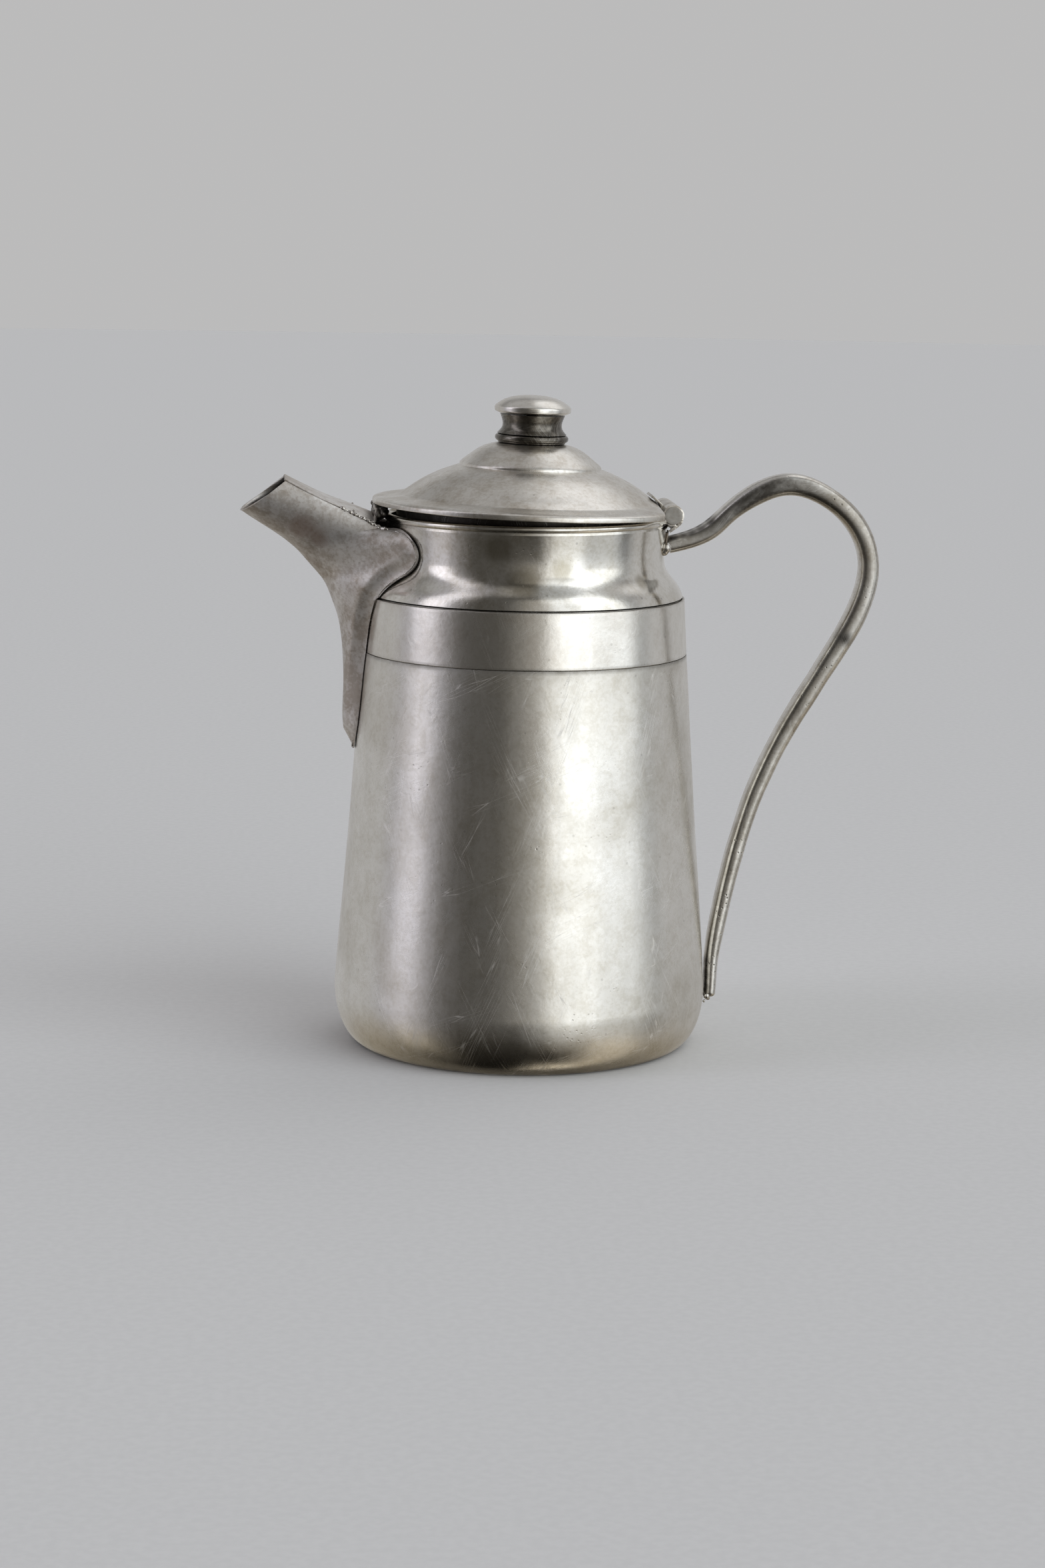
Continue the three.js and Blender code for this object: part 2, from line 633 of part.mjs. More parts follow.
addLidPiece('knob_washer', lidRevolve([
  [STUD_R + GAP, WASHER_LOW_Z],
  [6, WASHER_LOW_Z],
  [6, WASHER_HIGH_Z],
  [STUD_R + GAP, WASHER_HIGH_Z],
], 20), DARK_SILVER, 0.45);

const nutBlank = lidRevolve([
  [STUD_R + GAP, NUT_LOW_Z],
  [3.9, NUT_LOW_Z],
  [4.3, NUT_LOW_Z + 0.4],
  [4.3, NUT_HIGH_Z - 0.4],
  [3.9, NUT_HIGH_Z],
  [STUD_R + GAP, NUT_HIGH_Z],
], 6);
addLidPiece('knob_nut', nutBlank, DARK_SILVER, 0.45);

export default pot;
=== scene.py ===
"""Silver coffee pot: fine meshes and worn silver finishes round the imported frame.

Lengths in the outlines are millimetres, in the frame's axes: +Z up, spout to -X, handle to +X.
The meshes are made in millimetres and scaled to metres when they become objects.
"""

import json
import math

import bmesh
import bpy
import numpy as np
from mathutils import Matrix, Vector, noise
from mathutils.kdtree import KDTree


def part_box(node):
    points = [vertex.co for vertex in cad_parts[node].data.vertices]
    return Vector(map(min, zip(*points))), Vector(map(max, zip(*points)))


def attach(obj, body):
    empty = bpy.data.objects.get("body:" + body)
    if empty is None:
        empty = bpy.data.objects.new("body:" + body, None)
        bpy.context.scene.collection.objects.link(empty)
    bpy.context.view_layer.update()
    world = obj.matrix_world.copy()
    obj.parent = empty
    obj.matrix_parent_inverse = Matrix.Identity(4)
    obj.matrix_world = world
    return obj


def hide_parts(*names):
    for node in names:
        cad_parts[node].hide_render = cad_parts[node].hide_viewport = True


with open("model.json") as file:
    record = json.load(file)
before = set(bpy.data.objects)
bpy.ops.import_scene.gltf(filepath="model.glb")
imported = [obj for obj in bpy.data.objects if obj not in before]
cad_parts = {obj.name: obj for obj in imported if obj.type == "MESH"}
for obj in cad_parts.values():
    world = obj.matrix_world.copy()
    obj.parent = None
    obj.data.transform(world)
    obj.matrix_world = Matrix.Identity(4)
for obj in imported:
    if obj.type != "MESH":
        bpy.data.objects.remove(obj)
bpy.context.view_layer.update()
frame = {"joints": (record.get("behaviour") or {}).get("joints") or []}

MM = 0.001


def span(node):
    """Lowest and highest corner of a CAD node, in millimetres."""
    low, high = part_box(node)
    return np.array(low) / MM, np.array(high) / MM


# ------------------------ dimensions from the frame
BELLY_R = span("body_shell")[1][1]
BODY_TOP_Z = span("body_shell")[1][2]
BAND_LOW_Z = span("neck_band")[0][2]
BAND_HIGH_Z = span("neck_band")[1][2]
BAND_LOW_R = span("neck_band")[1][1]
BAND_HIGH_R = BAND_LOW_R - 1.0
RIM_R = span("rim_wire")[1][1]
RIM_LOW_Z, RIM_HIGH_Z = span("rim_wire")[0][2], span("rim_wire")[1][2]
SADDLE_LOW_Z, SADDLE_HIGH_Z, SADDLE_HALF_ANGLE = span("handle_saddle")[0][2], 165.3, 11
HINGE = np.array(frame["joints"][0]["pos_m"]) / MM
BARREL_HALF = span("hinge_leaf_body")[1][1]
LID_KNUCKLE_HALF = span("hinge_leaf_lid")[1][1]
HANDLE_WIDE = 9.0

WALL = 1.0                # sheet thickness of body, neck and lid
SPOUT_WALL = 0.9
GAP = 0.3
BASE_R = 51.0
BELLY_Z = 18.3
PIN_R = 2.1
KNUCKLE_R = 3.3
LID_AJAR = math.radians(1.7)
LID_X = 0.4               # lid axis, in the closed position
LID_R = 49.6
LID_UNDER_Z = 170.6
LID_CHORD_X = 40.8
TURNS = 288               # steps round the pot and the lid


# ------------------------ lines
def smooth_line(points, count):
    """A smooth curve (natural cubic spline) through the points, in any number of dimensions."""
    p = np.asarray(points, float)
    if p.ndim == 1:
        p = p[:, None]
    n = len(p)
    system = np.eye(n)
    bend = np.zeros_like(p)
    for i in range(1, n - 1):
        system[i, i - 1 : i + 2] = 1, 4, 1
        bend[i] = 6 * (p[i - 1] - 2 * p[i] + p[i + 1])
    m = np.linalg.solve(system, bend)
    t = np.linspace(0, n - 1, count)
    k = np.minimum(t.astype(int), n - 2)
    f = (t - k)[:, None]
    g = 1 - f
    return g * p[k] + f * p[k + 1] + (g**3 - g) * m[k] / 6 + (f**3 - f) * m[k + 1] / 6


def arc(x, z, radius, start, stop, steps):
    a = np.radians(np.linspace(start, stop, steps + 1))
    return np.column_stack([x + radius * np.cos(a), z + radius * np.sin(a)])


def rounded(points, radius, steps=3, loop=True):
    """The outline with each clear corner rounded; smooth stretches are left alone."""
    p = np.asarray(points, float)
    n = len(p)
    out = []
    for i in range(n):
        before, here, after = p[i - 1], p[i], p[(i + 1) % n]
        if not loop and i in (0, n - 1):
            out.append(here)
            continue
        a, b = before - here, after - here
        la, lb = np.linalg.norm(a), np.linalg.norm(b)
        turn = math.acos(np.clip(-(a @ b) / (la * lb), -1, 1))
        if turn < math.radians(24):
            out.append(here)
            continue
        cut = min(radius, 0.45 * la, 0.45 * lb)
        s, e = here + a * cut / la, here + b * cut / lb
        for t in np.linspace(0, 1, steps + 1):
            out.append((1 - t) ** 2 * s + 2 * t * (1 - t) * here + t * t * e)
    return np.array(out)


def dense(points, step, loop=False):
    """The outline with long stretches cut into steps."""
    p = list(np.asarray(points, float))
    if loop:
        p.append(p[0])
    out = [p[0]]
    for a, b in zip(p[:-1], p[1:]):
        parts = max(1, math.ceil(np.linalg.norm(b - a) / step))
        out += [a + (b - a) * k / parts for k in range(1, parts + 1)]
    return np.array(out[:-1] if loop else out)


def shifted(points, distance):
    """The outline moved sideways, to the left of its direction."""
    p = np.asarray(points, float)
    d = np.gradient(p, axis=0)
    d /= np.linalg.norm(d, axis=1)[:, None]
    return p + distance * np.column_stack([-d[:, 1], d[:, 0]])


# ------------------------ meshes
def grid_faces(rows, columns, loop_rows=False, loop_columns=False):
    i, j = np.meshgrid(
        np.arange(rows if loop_rows else rows - 1),
        np.arange(columns if loop_columns else columns - 1),
        indexing="ij",
    )
    i2, j2 = (i + 1) % rows, (j + 1) % columns
    quads = [i * columns + j, i * columns + j2, i2 * columns + j2, i2 * columns + j]
    return np.stack(quads, -1).reshape(-1, 4)


def add_mesh(name, vertices, faces, uv=None, weld=True):
    """A closed mesh object from millimetres, with its faces pointing out."""
    mesh = bpy.data.meshes.new(name)
    mesh.from_pydata(np.asarray(vertices, float) * MM, [], [list(map(int, f)) for f in faces])
    if uv is not None:
        layer = mesh.uv_layers.new(name="surface")
        corner = np.empty(len(mesh.loops), int)
        mesh.loops.foreach_get("vertex_index", corner)
        layer.data.foreach_set("uv", np.asarray(uv, float)[corner].ravel())
    work = bmesh.new()
    work.from_mesh(mesh)
    if weld:
        bmesh.ops.remove_doubles(work, verts=work.verts, dist=1e-7)
    bmesh.ops.recalc_face_normals(work, faces=work.faces)
    if work.calc_volume(signed=True) < 0:
        bmesh.ops.reverse_faces(work, faces=work.faces)
    work.to_mesh(mesh)
    work.free()
    obj = bpy.data.objects.new(name, mesh)
    bpy.context.scene.collection.objects.link(obj)
    return obj


def settle(obj):
    """Applies the object's modifiers to its mesh."""
    bpy.context.view_layer.update()
    graph = bpy.context.evaluated_depsgraph_get()
    made = bpy.data.meshes.new_from_object(obj.evaluated_get(graph), depsgraph=graph)
    obj.modifiers.clear()
    old = obj.data
    obj.data = made
    bpy.data.meshes.remove(old)
    return obj


def cut(obj, tool, operation="DIFFERENCE"):
    """Cuts obj with a closed tool object, or joins them, and drops the tool."""
    modifier = obj.modifiers.new("cut", "BOOLEAN")
    modifier.operation = operation
    modifier.solver = "MANIFOLD"
    modifier.object = tool
    settle(obj)
    bpy.data.objects.remove(tool)
    return obj


def bevelled(obj, width, segments=2, angle=35):
    modifier = obj.modifiers.new("bevel", "BEVEL")
    modifier.width = width * MM
    modifier.segments = segments
    modifier.limit_method = "ANGLE"
    modifier.angle_limit = math.radians(angle)
    return settle(obj)


def revolve(name, outline, turns=TURNS, closed=True, centre=0.0):
    """Turns [radius, height] points round the upright axis through (centre, 0)."""
    p = np.asarray(outline, float)
    a = math.pi / 2 + 2 * math.pi * np.arange(turns) / turns
    x = p[:, :1] * np.cos(a) + centre
    y = p[:, :1] * np.sin(a)
    z = np.broadcast_to(p[:, 1:], x.shape)
    vertices = np.stack([x, y, z], -1).reshape(-1, 3)
    length = np.concatenate([[0], np.cumsum(np.linalg.norm(np.diff(p, axis=0), axis=1))])
    along = np.broadcast_to(length[:, None], x.shape)
    wide = np.broadcast_to((a - math.pi / 2)[None, :] * max(p[:, 0].mean(), 5), x.shape)
    uv = np.stack([wide, along], -1).reshape(-1, 2) * MM
    faces = grid_faces(len(p), turns, loop_rows=closed, loop_columns=True)
    faces = [[v for k, v in enumerate(f) if k == 0 or v != f[k - 1]] for f in faces]
    return add_mesh(name, vertices, faces, uv)


def bar(name, outline, low, high):
    """An [x, z] outline pulled along Y."""
    p = np.asarray(outline, float)
    n = len(p)
    ends = [np.column_stack([p[:, 0], np.full(n, y), p[:, 1]]) for y in (low, high)]
    sides = [[i, (i + 1) % n, n + (i + 1) % n, n + i] for i in range(n)]
    return add_mesh(name, np.vstack(ends), [*sides, list(range(n))[::-1], list(range(n, 2 * n))])


def sheet(name, grid, thickness, fix=None):
    """A closed sheet: a grid of points given a thickness, on the side away from the grid's normals."""
    grid = np.asarray(grid, float)
    along = np.gradient(grid, axis=0)
    across = np.gradient(grid, axis=1)
    normal = np.cross(along, across)
    normal /= np.linalg.norm(normal, axis=2)[..., None]
    inner = grid - normal * thickness
    if fix:
        inner = fix(inner)
    rows, columns = grid.shape[:2]
    ring = np.concatenate([grid, inner[:, ::-1]], axis=1)
    faces = [list(f) for f in grid_faces(rows, 2 * columns, loop_columns=True)]
    for row, flip in ((0, False), (rows - 1, True)):
        start = row * 2 * columns
        for j in range(columns - 1):
            quad = [start + j, start + j + 1, start + 2 * columns - 2 - j, start + 2 * columns - 1 - j]
            faces.append(quad if flip else quad[::-1])
    lengths = np.linalg.norm(np.diff(grid, axis=0), axis=2).mean(1)
    v = np.concatenate([[0], np.cumsum(lengths)])[:, None] * np.ones((1, 2 * columns))
    widths = np.linalg.norm(np.diff(ring, axis=1), axis=2).mean(0)
    u = np.concatenate([[0], np.cumsum(widths)])[None, :] * np.ones((rows, 1))
    uv = np.stack([u, v], -1).reshape(-1, 2) * MM
    return add_mesh(name, ring.reshape(-1, 3), faces, uv)


def tube(name, rings):
    """Skins a row of closed rings, with a fan on each end."""
    rings = np.asarray(rings, float)
    rows, columns = rings.shape[:2]
    faces = [list(f) for f in grid_faces(rows, columns, loop_columns=True)]
    middle = rows * columns
    for row, centre in ((0, middle), (rows - 1, middle + 1)):
        faces += [[row * columns + j, row * columns + (j + 1) % columns, centre] for j in range(columns)]
    vertices = np.vstack([rings.reshape(-1, 3), rings[0].mean(0), rings[-1].mean(0)])
    v = np.concatenate([[0], np.cumsum(np.linalg.norm(np.diff(rings.mean(1), axis=0), axis=1))])
    step = np.linalg.norm(rings[rows // 2, 1] - rings[rows // 2, 0])
    u = np.arange(columns) * step
    uv = np.stack(np.meshgrid(u, v), -1).reshape(-1, 2)
    uv = np.vstack([uv, uv[:1], uv[-1:]]) * MM
    return add_mesh(name, vertices, faces, uv)


def dent(obj, size, depth, seed, keep=None):
    """Gives a hand-worked surface slight hollows of a size and depth, along its normals, where keep is 1."""
    shift = Vector((seed * 7.3, seed * 3.1, seed * 5.7))
    co = np.empty(len(obj.data.vertices) * 3)
    obj.data.vertices.foreach_get("co", co)
    co = co.reshape(-1, 3)
    normals = np.empty(len(co) * 3)
    obj.data.vertex_normals.foreach_get("vector", normals)
    amount = np.array([noise.noise(Vector(point) / (size * MM) + shift) for point in co])
    if keep:
        amount *= keep(co / MM)
    co += normals.reshape(-1, 3) * amount[:, None] * depth * MM
    obj.data.vertices.foreach_set("co", co.ravel())
    obj.data.update()


BALL_ROWS, BALL_COLUMNS = 7, 10


def ball(centre, radius):
    """Points of a ball, row by row from its top to its bottom."""
    a = np.linspace(0, math.pi, BALL_ROWS)
    b = np.arange(BALL_COLUMNS) * 2 * math.pi / BALL_COLUMNS
    x, y = np.outer(np.sin(a), np.cos(b)), np.outer(np.sin(a), np.sin(b))
    z = np.outer(np.cos(a), np.ones(BALL_COLUMNS))
    return centre + radius * np.stack([x, y, z], -1).reshape(-1, 3)


def solder(name, path, radius, seed, spread, grains, voxel):
    """A lumpy run of solder: overlapping drops along a path, joined into one skin."""
    rng = np.random.default_rng(seed)
    path = dense(path, radius * 0.55)
    drops = []
    for point in path:
        drops.append((point + rng.normal(0, radius * 0.12, 3), radius * rng.uniform(1 - spread, 1 + spread)))
        if rng.random() < grains:
            drops.append((point + rng.normal(0, radius * 0.75, 3), radius * rng.uniform(0.45, 0.8)))
    vertices, faces = [], []
    for centre, size in drops:
        first = len(vertices) * BALL_ROWS * BALL_COLUMNS
        faces.append(first + grid_faces(BALL_ROWS, BALL_COLUMNS, loop_columns=True))
        vertices.append(ball(centre, size))
    obj = add_mesh(name, np.vstack(vertices), np.vstack(faces), weld=False)
    remesh = obj.modifiers.new("skin", "REMESH")
    remesh.mode = "VOXEL"
    remesh.voxel_size = voxel * MM
    soften = obj.modifiers.new("soften", "SMOOTH")
    soften.factor = 0.5
    soften.iterations = 3
    return settle(obj)


def points_of(obj):
    """The mesh's vertices in mm."""
    co = np.empty(len(obj.data.vertices) * 3)
    obj.data.vertices.foreach_get("co", co)
    return co.reshape(-1, 3) / MM


def even(amount):
    """The same amount all over a piece, for the layer of soiling and painted shade."""
    return lambda points: [np.full(len(points), amount)]


def grime_and_shade(obj, amounts):
    """Stores how much each vertex is darkened, by soiling and by painted shade, the most of some amounts, for
    the finish to read.
    """
    values = np.clip(np.maximum.reduce(amounts(points_of(obj))), 0, 1)
    layer = obj.data.attributes.get("grime_and_shade") or obj.data.attributes.new("grime_and_shade", "FLOAT", "POINT")
    layer.data.foreach_set("value", values.astype(np.float32))


def nearest(points, targets):
    """Distance from each point to the nearest of some targets."""
    targets = np.asarray(targets, float).reshape(-1, 3)
    tree = KDTree(len(targets))
    for i, target in enumerate(targets):
        tree.insert(target, i)
    tree.balance()
    return np.array([tree.find(point)[2] for point in points])


def behind(points, grid, wall):
    """1 on the side of a sheet away from the grid that it was made from, 0 on the grid's side."""
    return np.where(nearest(points, grid) > 0.65 * wall, 1.0, 0.0)


def near(points, path, reach):
    """1 on the path, fading to 0 at a distance of about reach."""
    best = np.full(len(points), 1e9)
    for p in np.asarray(path, float):
        best = np.minimum(best, ((points - p) ** 2).sum(1))
    return np.exp(-best / (reach * reach))


def finish_piece(obj, material, body, slot, *nodes, sharp=38):
    obj.data.materials.clear()
    obj.data.materials.append(material)
    for polygon in obj.data.polygons:
        polygon.use_smooth = True
    obj.data.set_sharp_from_angle(angle=math.radians(sharp))
    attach(obj, body)
    if nodes:
        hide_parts(*nodes)
    return obj


# ------------------------ finishes
class Graph:
    """Short calls for building a node tree."""

    def __init__(self, tree):
        self.tree = tree
        tree.nodes.clear()

    def add(self, kind, inputs=None, **settings):
        """A new shader node with its inputs set or linked. kind is its type's name after ShaderNode."""
        node = self.tree.nodes.new("ShaderNode" + kind)
        for name, value in settings.items():
            setattr(node, name, value)
        for name, value in (inputs or {}).items():
            if isinstance(value, bpy.types.NodeSocket):
                self.tree.links.new(value, node.inputs[name])
            else:
                node.inputs[name].default_value = value
        return node

    def math(self, operation, *values, clamp=False):
        node = self.add("Math", dict(enumerate(values)), operation=operation, use_clamp=clamp)
        return node.outputs[0]

    def times(self, a, b, clamp=False):
        return self.math("MULTIPLY", a, b, clamp=clamp)

    def times_plus(self, a, b, c, clamp=False):
        """a * b + c."""
        return self.math("MULTIPLY_ADD", a, b, c, clamp=clamp)

    def most(self, a, b):
        return self.math("MAXIMUM", a, b)

    def step(self, value, low, high, to_low=0.0, to_high=1.0):
        """Smooth change from to_low to to_high as value goes from low to high."""
        return self.add(
            "MapRange",
            {"Value": value, "From Min": low, "From Max": high, "To Min": to_low, "To Max": to_high},
            interpolation_type="SMOOTHSTEP",
        ).outputs[0]

    def noise(self, vector, scale, detail=3.0, roughness=0.5, distortion=0.0):
        look = {"Scale": scale, "Detail": detail, "Roughness": roughness, "Distortion": distortion}
        return self.add("TexNoise", {"Vector": vector, **look}).outputs[0]

    def stretch(self, vector, scale, turn=0.0, move=0.0):
        return self.add(
            "Mapping",
            {"Vector": vector, "Scale": scale, "Rotation": (0, 0, turn), "Location": (move, move, move)},
        ).outputs[0]

    def mix(self, factor, a, b):
        node = self.add("Mix", data_type="RGBA")
        for socket, value in ((node.inputs[0], factor), (node.inputs[6], a), (node.inputs[7], b)):
            if isinstance(value, bpy.types.NodeSocket):
                self.tree.links.new(value, socket)
            else:
                socket.default_value = (*value, 1) if isinstance(value, tuple) else value
        return node.outputs[2]


def scratch_layer(g, vector, turn, fine, long, width, seed):
    """Long thin scratches all at about one angle, broken up by a noise mask."""
    turned = g.stretch(vector, (1, 1, 1), turn, seed)
    lines = g.stretch(turned, (fine, long, 1))
    cells = g.add(
        "TexVoronoi",
        {"Vector": lines, "Scale": 1.0, "Randomness": 1.0},
        feature="DISTANCE_TO_EDGE",
        voronoi_dimensions="2D",
    ).outputs["Distance"]
    thin = g.step(cells, 0.0, width, 1.0, 0.0)
    mask = g.step(g.noise(g.stretch(turned, (190, 26, 1)), 1.0, 2.0), 0.54, 0.68)
    return g.times(thin, mask)


# Depths of the relief in the finishes, in metres.
SKIN_DEPTH = 0.000014
MOTTLE_DEPTH = 0.00004
GRAIN_DEPTH = 0.0000012
BROAD_DEPTH = 0.00005
PIT_DEPTH = 0.00006
SCRATCH_DEPTH = 0.000002
SCRATCH_TONE = (0.92, 0.90, 0.87)


def silver(
    name,
    clean=(0.80, 0.78, 0.74), stain=(0.42, 0.36, 0.28), staining=0.35, dark=(0.035, 0.030, 0.025),
    rough=(0.20, 0.34), peel=1.0, pits=0.5, scratches=0.5, foot=None,
    worn=(), brown=(), brown_tone=(0.28, 0.245, 0.17), dull=0.0, seed=0.0,
):
    """Worn silver: cloudy tarnish, satin grain, fine scratches, pits, and soiling and painted shade from a
    vertex layer.

    foot is how far up in mm the brown of the foot reaches, partly tarnish and partly a painted reflection of
    a brown table. worn and brown are lists of patches.
    """
    material = bpy.data.materials.new(name)
    material.use_nodes = True
    g = Graph(material.node_tree)
    here = g.add("TexCoord").outputs["Object"]
    place = g.stretch(here, (1, 1, 1), 0, seed * 0.37)
    flat = g.add("UVMap", uv_map="surface").outputs[0]

    cloud = g.noise(place, 26, 5, 0.6, 0.4)
    blotch = g.noise(place, 95, 5, 0.65, 0.3)
    streak = g.noise(g.stretch(place, (160, 160, 14), 0, 1.7), 1.0, 4, 0.6)
    grain = g.noise(place, 2600, 2, 0.6)
    skin = g.noise(place, 520, 2, 0.55)
    broad = g.noise(place, 60, 2, 0.4)
    mottle = g.noise(place, 230, 3, 0.55, 0.6)

    def patches(centres):
        """1 at each (x, y, z, reach) in mm, fading to 0 at its reach."""
        total = None
        for x, y, z, reach in centres:
            centre = (x * MM, y * MM, z * MM)
            away = g.add("VectorMath", {0: here, 1: centre}, operation="DISTANCE").outputs["Value"]
            away = g.times_plus(g.math("SUBTRACT", mottle, 0.5), 0.9 * reach * MM, away)
            one = g.step(away, 0.35 * reach * MM, reach * MM, 1.0, 0.0)
            total = one if total is None else g.most(total, one)
        return total

    def dots(scale, low, high):
        """Small dark dots, strewn at random."""
        cells = g.add("TexVoronoi", {"Vector": place, "Scale": scale, "Randomness": 1.0}, feature="F1")
        return g.step(cells.outputs["Distance"], low, high, 1.0, 0.0)

    patch = g.step(cloud, 0.40, 0.66)
    patch = g.times_plus(g.step(blotch, 0.42, 0.70), 0.45, g.times(patch, 0.75))
    patch = g.times(patch, staining, clamp=True)
    # The brown round the foot is partly tarnish and partly a painted reflection of a brown table.
    if foot:
        up_here = g.add("SeparateXYZ", {"Vector": here}).outputs[2]
        low = g.step(g.times_plus(cloud, 0.012, up_here), foot * MM, 0.35 * foot * MM)
        patch = g.most(patch, g.times(low, 0.6))
    speckle = g.times_plus(g.noise(place, 900, 3, 0.65), 0.55, g.times(mottle, 0.45))
    fine = g.times(g.step(speckle, 0.42, 0.62), 0.6 * staining)
    patch = g.math("ADD", patch, fine, clamp=True)
    colour = g.mix(patch, clean, stain)
    if brown:
        colour = g.mix(g.times(patches(brown), 0.6), colour, brown_tone)
    colour = g.mix(g.times(g.step(streak, 0.5, 0.75), 0.16), colour, tuple(0.7 * c for c in clean))

    zone = g.step(g.noise(g.stretch(place, (1, 1, 1), 0, 4.4), 60, 3, 0.6), 0.62 - 0.12 * pits, 0.74)
    if worn:
        zone = g.most(zone, patches(worn))
    pit = g.times(g.times(dots(620, 0.10, 0.24), zone), min(1.0, pits))
    speck = g.times(dots(150, 0.035, 0.085), 0.5 * min(1.0, pits + 0.2))
    colour = g.mix(g.times(g.most(pit, speck), 0.6), colour, dark)

    # The vertex layer holds soiling along the joints and painted shade; it darkens the colour and roughens
    # the gloss.
    dirt_and_shade = g.add("Attribute", attribute_name="grime_and_shade").outputs["Fac"]
    dirt_and_shade = g.times(dirt_and_shade, g.step(blotch, 0.2, 0.6, 0.55, 1.0))
    colour = g.mix(dirt_and_shade, colour, dark)

    lines = 0.0
    for layer in ((0.35, 1300, 34, 0.07, 1.3), (-0.4, 1100, 44, 0.06, 5.1), (1.1, 900, 60, 0.05, 8.2)):
        lines = g.most(lines, scratch_layer(g, flat, *layer))
    lines = g.times(lines, scratches)
    colour = g.mix(g.times(lines, 0.5), colour, SCRATCH_TONE)

    gloss = g.step(g.times_plus(streak, 0.35, g.times(cloud, 0.65)), 0.35, 0.65, *rough)
    gloss = g.times_plus(lines, 0.22, gloss)
    gloss = g.times_plus(dirt_and_shade, 0.35, gloss, clamp=True)

    height = g.times(skin, SKIN_DEPTH * peel)
    height = g.times_plus(mottle, MOTTLE_DEPTH * peel, height)
    height = g.times_plus(g.math("SUBTRACT", grain, 0.5), GRAIN_DEPTH * (0.5 + peel), height)
    height = g.times_plus(broad, BROAD_DEPTH * peel, height)
    height = g.times_plus(pit, -PIT_DEPTH, height)
    height = g.times_plus(lines, -SCRATCH_DEPTH, height)
    normal = g.add("Bump", {"Height": height, "Strength": 1.0, "Distance": 1.0}).outputs[0]
    shader = g.add(
        "BsdfPrincipled",
        {"Base Color": colour, "Roughness": gloss, "Metallic": 1.0 - dull, "Normal": normal},
    )
    g.add("OutputMaterial", {"Surface": shader.outputs[0]})
    return material


# Patches of worn or brown metal are given as x, y, z and reach.
body_finish = silver(
    "silver_body", stain=(0.50, 0.46, 0.38), staining=0.42, scratches=1.0, foot=24, rough=(0.22, 0.34),
    worn=[(-37, -42, 93, 9), (14, -56, 17, 8), (-14, -54, 60, 5)],
)
band_finish = silver("silver_band", staining=0.25, scratches=0.4, rough=(0.15, 0.26), seed=1.0)
# Brown tarnish patches on the neck; the one at 42.4, -13 is a painted shadow beside the handle's solder ball.
neck_brown_and_shadow = [
    (-4, -44, 153, 7), (8, -44, 157, 5), (-12, -43, 163, 6), (42.4, -13, 160, 4.5), (33, -30, 151, 4),
]
neck_finish = silver(
    "silver_neck", stain=(0.48, 0.44, 0.36), staining=0.5, pits=0.8, scratches=0.3, rough=(0.11, 0.21),
    peel=0.75, brown=neck_brown_and_shadow, seed=2.0,
)
spout_finish = silver(
    "silver_spout", clean=(0.74, 0.72, 0.70), stain=(0.42, 0.37, 0.32), staining=0.9, peel=0.8,
    scratches=0.4, rough=(0.36, 0.48), brown=[(-71.5, -12, 166, 6.5), (-67, -12.5, 162, 5)],
    brown_tone=(0.34, 0.24, 0.19), dull=0.3, seed=3.0,
)
handle_finish = silver(
    "silver_handle", clean=(0.74, 0.72, 0.68), stain=(0.38, 0.34, 0.28), staining=0.55, pits=0.9, peel=0.6,
    rough=(0.13, 0.23), seed=4.0, worn=[(64, -4, 42, 13), (62, -4, 24, 10), (68, -4, 62, 9)],
)
hinge_finish = silver("silver_hinge", clean=(0.76, 0.74, 0.70), staining=0.35, rough=(0.20, 0.32), seed=5.0)
# The bezel is painted near black: painted shade in the gap under the lid's edge.
bezel_shade_finish = silver(
    "silver_bezel_shade", clean=(0.055, 0.05, 0.045), stain=(0.03, 0.026, 0.022), staining=0.8,
    rough=(0.4, 0.55), seed=11.0,
)
saddle_finish = silver(
    "silver_brown", clean=(0.40, 0.35, 0.29), stain=(0.16, 0.12, 0.09), staining=0.8, rough=(0.26, 0.4),
    seed=12.0,
)
lid_finish = silver(
    "silver_lid", stain=(0.48, 0.43, 0.36), staining=0.6, scratches=0.3, rough=(0.24, 0.36), seed=6.0
)
cap_finish = silver("silver_cap", staining=0.3, peel=0.5, scratches=0.3, rough=(0.16, 0.26), seed=7.0)
black_finish = silver(
    "silver_tarnished", clean=(0.20, 0.185, 0.16), stain=(0.05, 0.043, 0.036), staining=0.85,
    rough=(0.16, 0.30), seed=8.0,
)
solder_finish = silver(
    "solder", clean=(0.72, 0.70, 0.67), stain=(0.30, 0.26, 0.21), staining=0.6, peel=0.4,
    rough=(0.16, 0.30), seed=9.0,
)
steel_finish = silver("fixing_metal", clean=(0.50, 0.48, 0.45), staining=0.5, rough=(0.3, 0.42), seed=10.0)

# ------------------------ outlines of the pot
foot_arc = arc(0, 0, 1, -90, 0, 24) * [BELLY_R - BASE_R, BELLY_Z] + [BASE_R, BELLY_Z]
body_side = smooth_line([[BELLY_R, BELLY_Z], [58.5, 36.4], [55.95, 67.2], [53.8, 97], [51.6, 126.4]], 90)
neck_side = smooth_line(
    [[50.0, 144.8], [48.3, 148.3], [45.2, 152.2], [43.8, 156.2], [44.0, 161.5], [44.7, 167.4]], 48
)


def band_inner(z):
    t = (z - BAND_LOW_Z) / (BAND_HIGH_Z - BAND_LOW_Z)
    return BAND_LOW_R + t * (BAND_HIGH_R - BAND_LOW_R) - 0.8


outside = np.vstack([foot_arc, body_side[1:], [[51.6, BAND_LOW_Z], [BAND_HIGH_R, BAND_HIGH_Z]], neck_side])


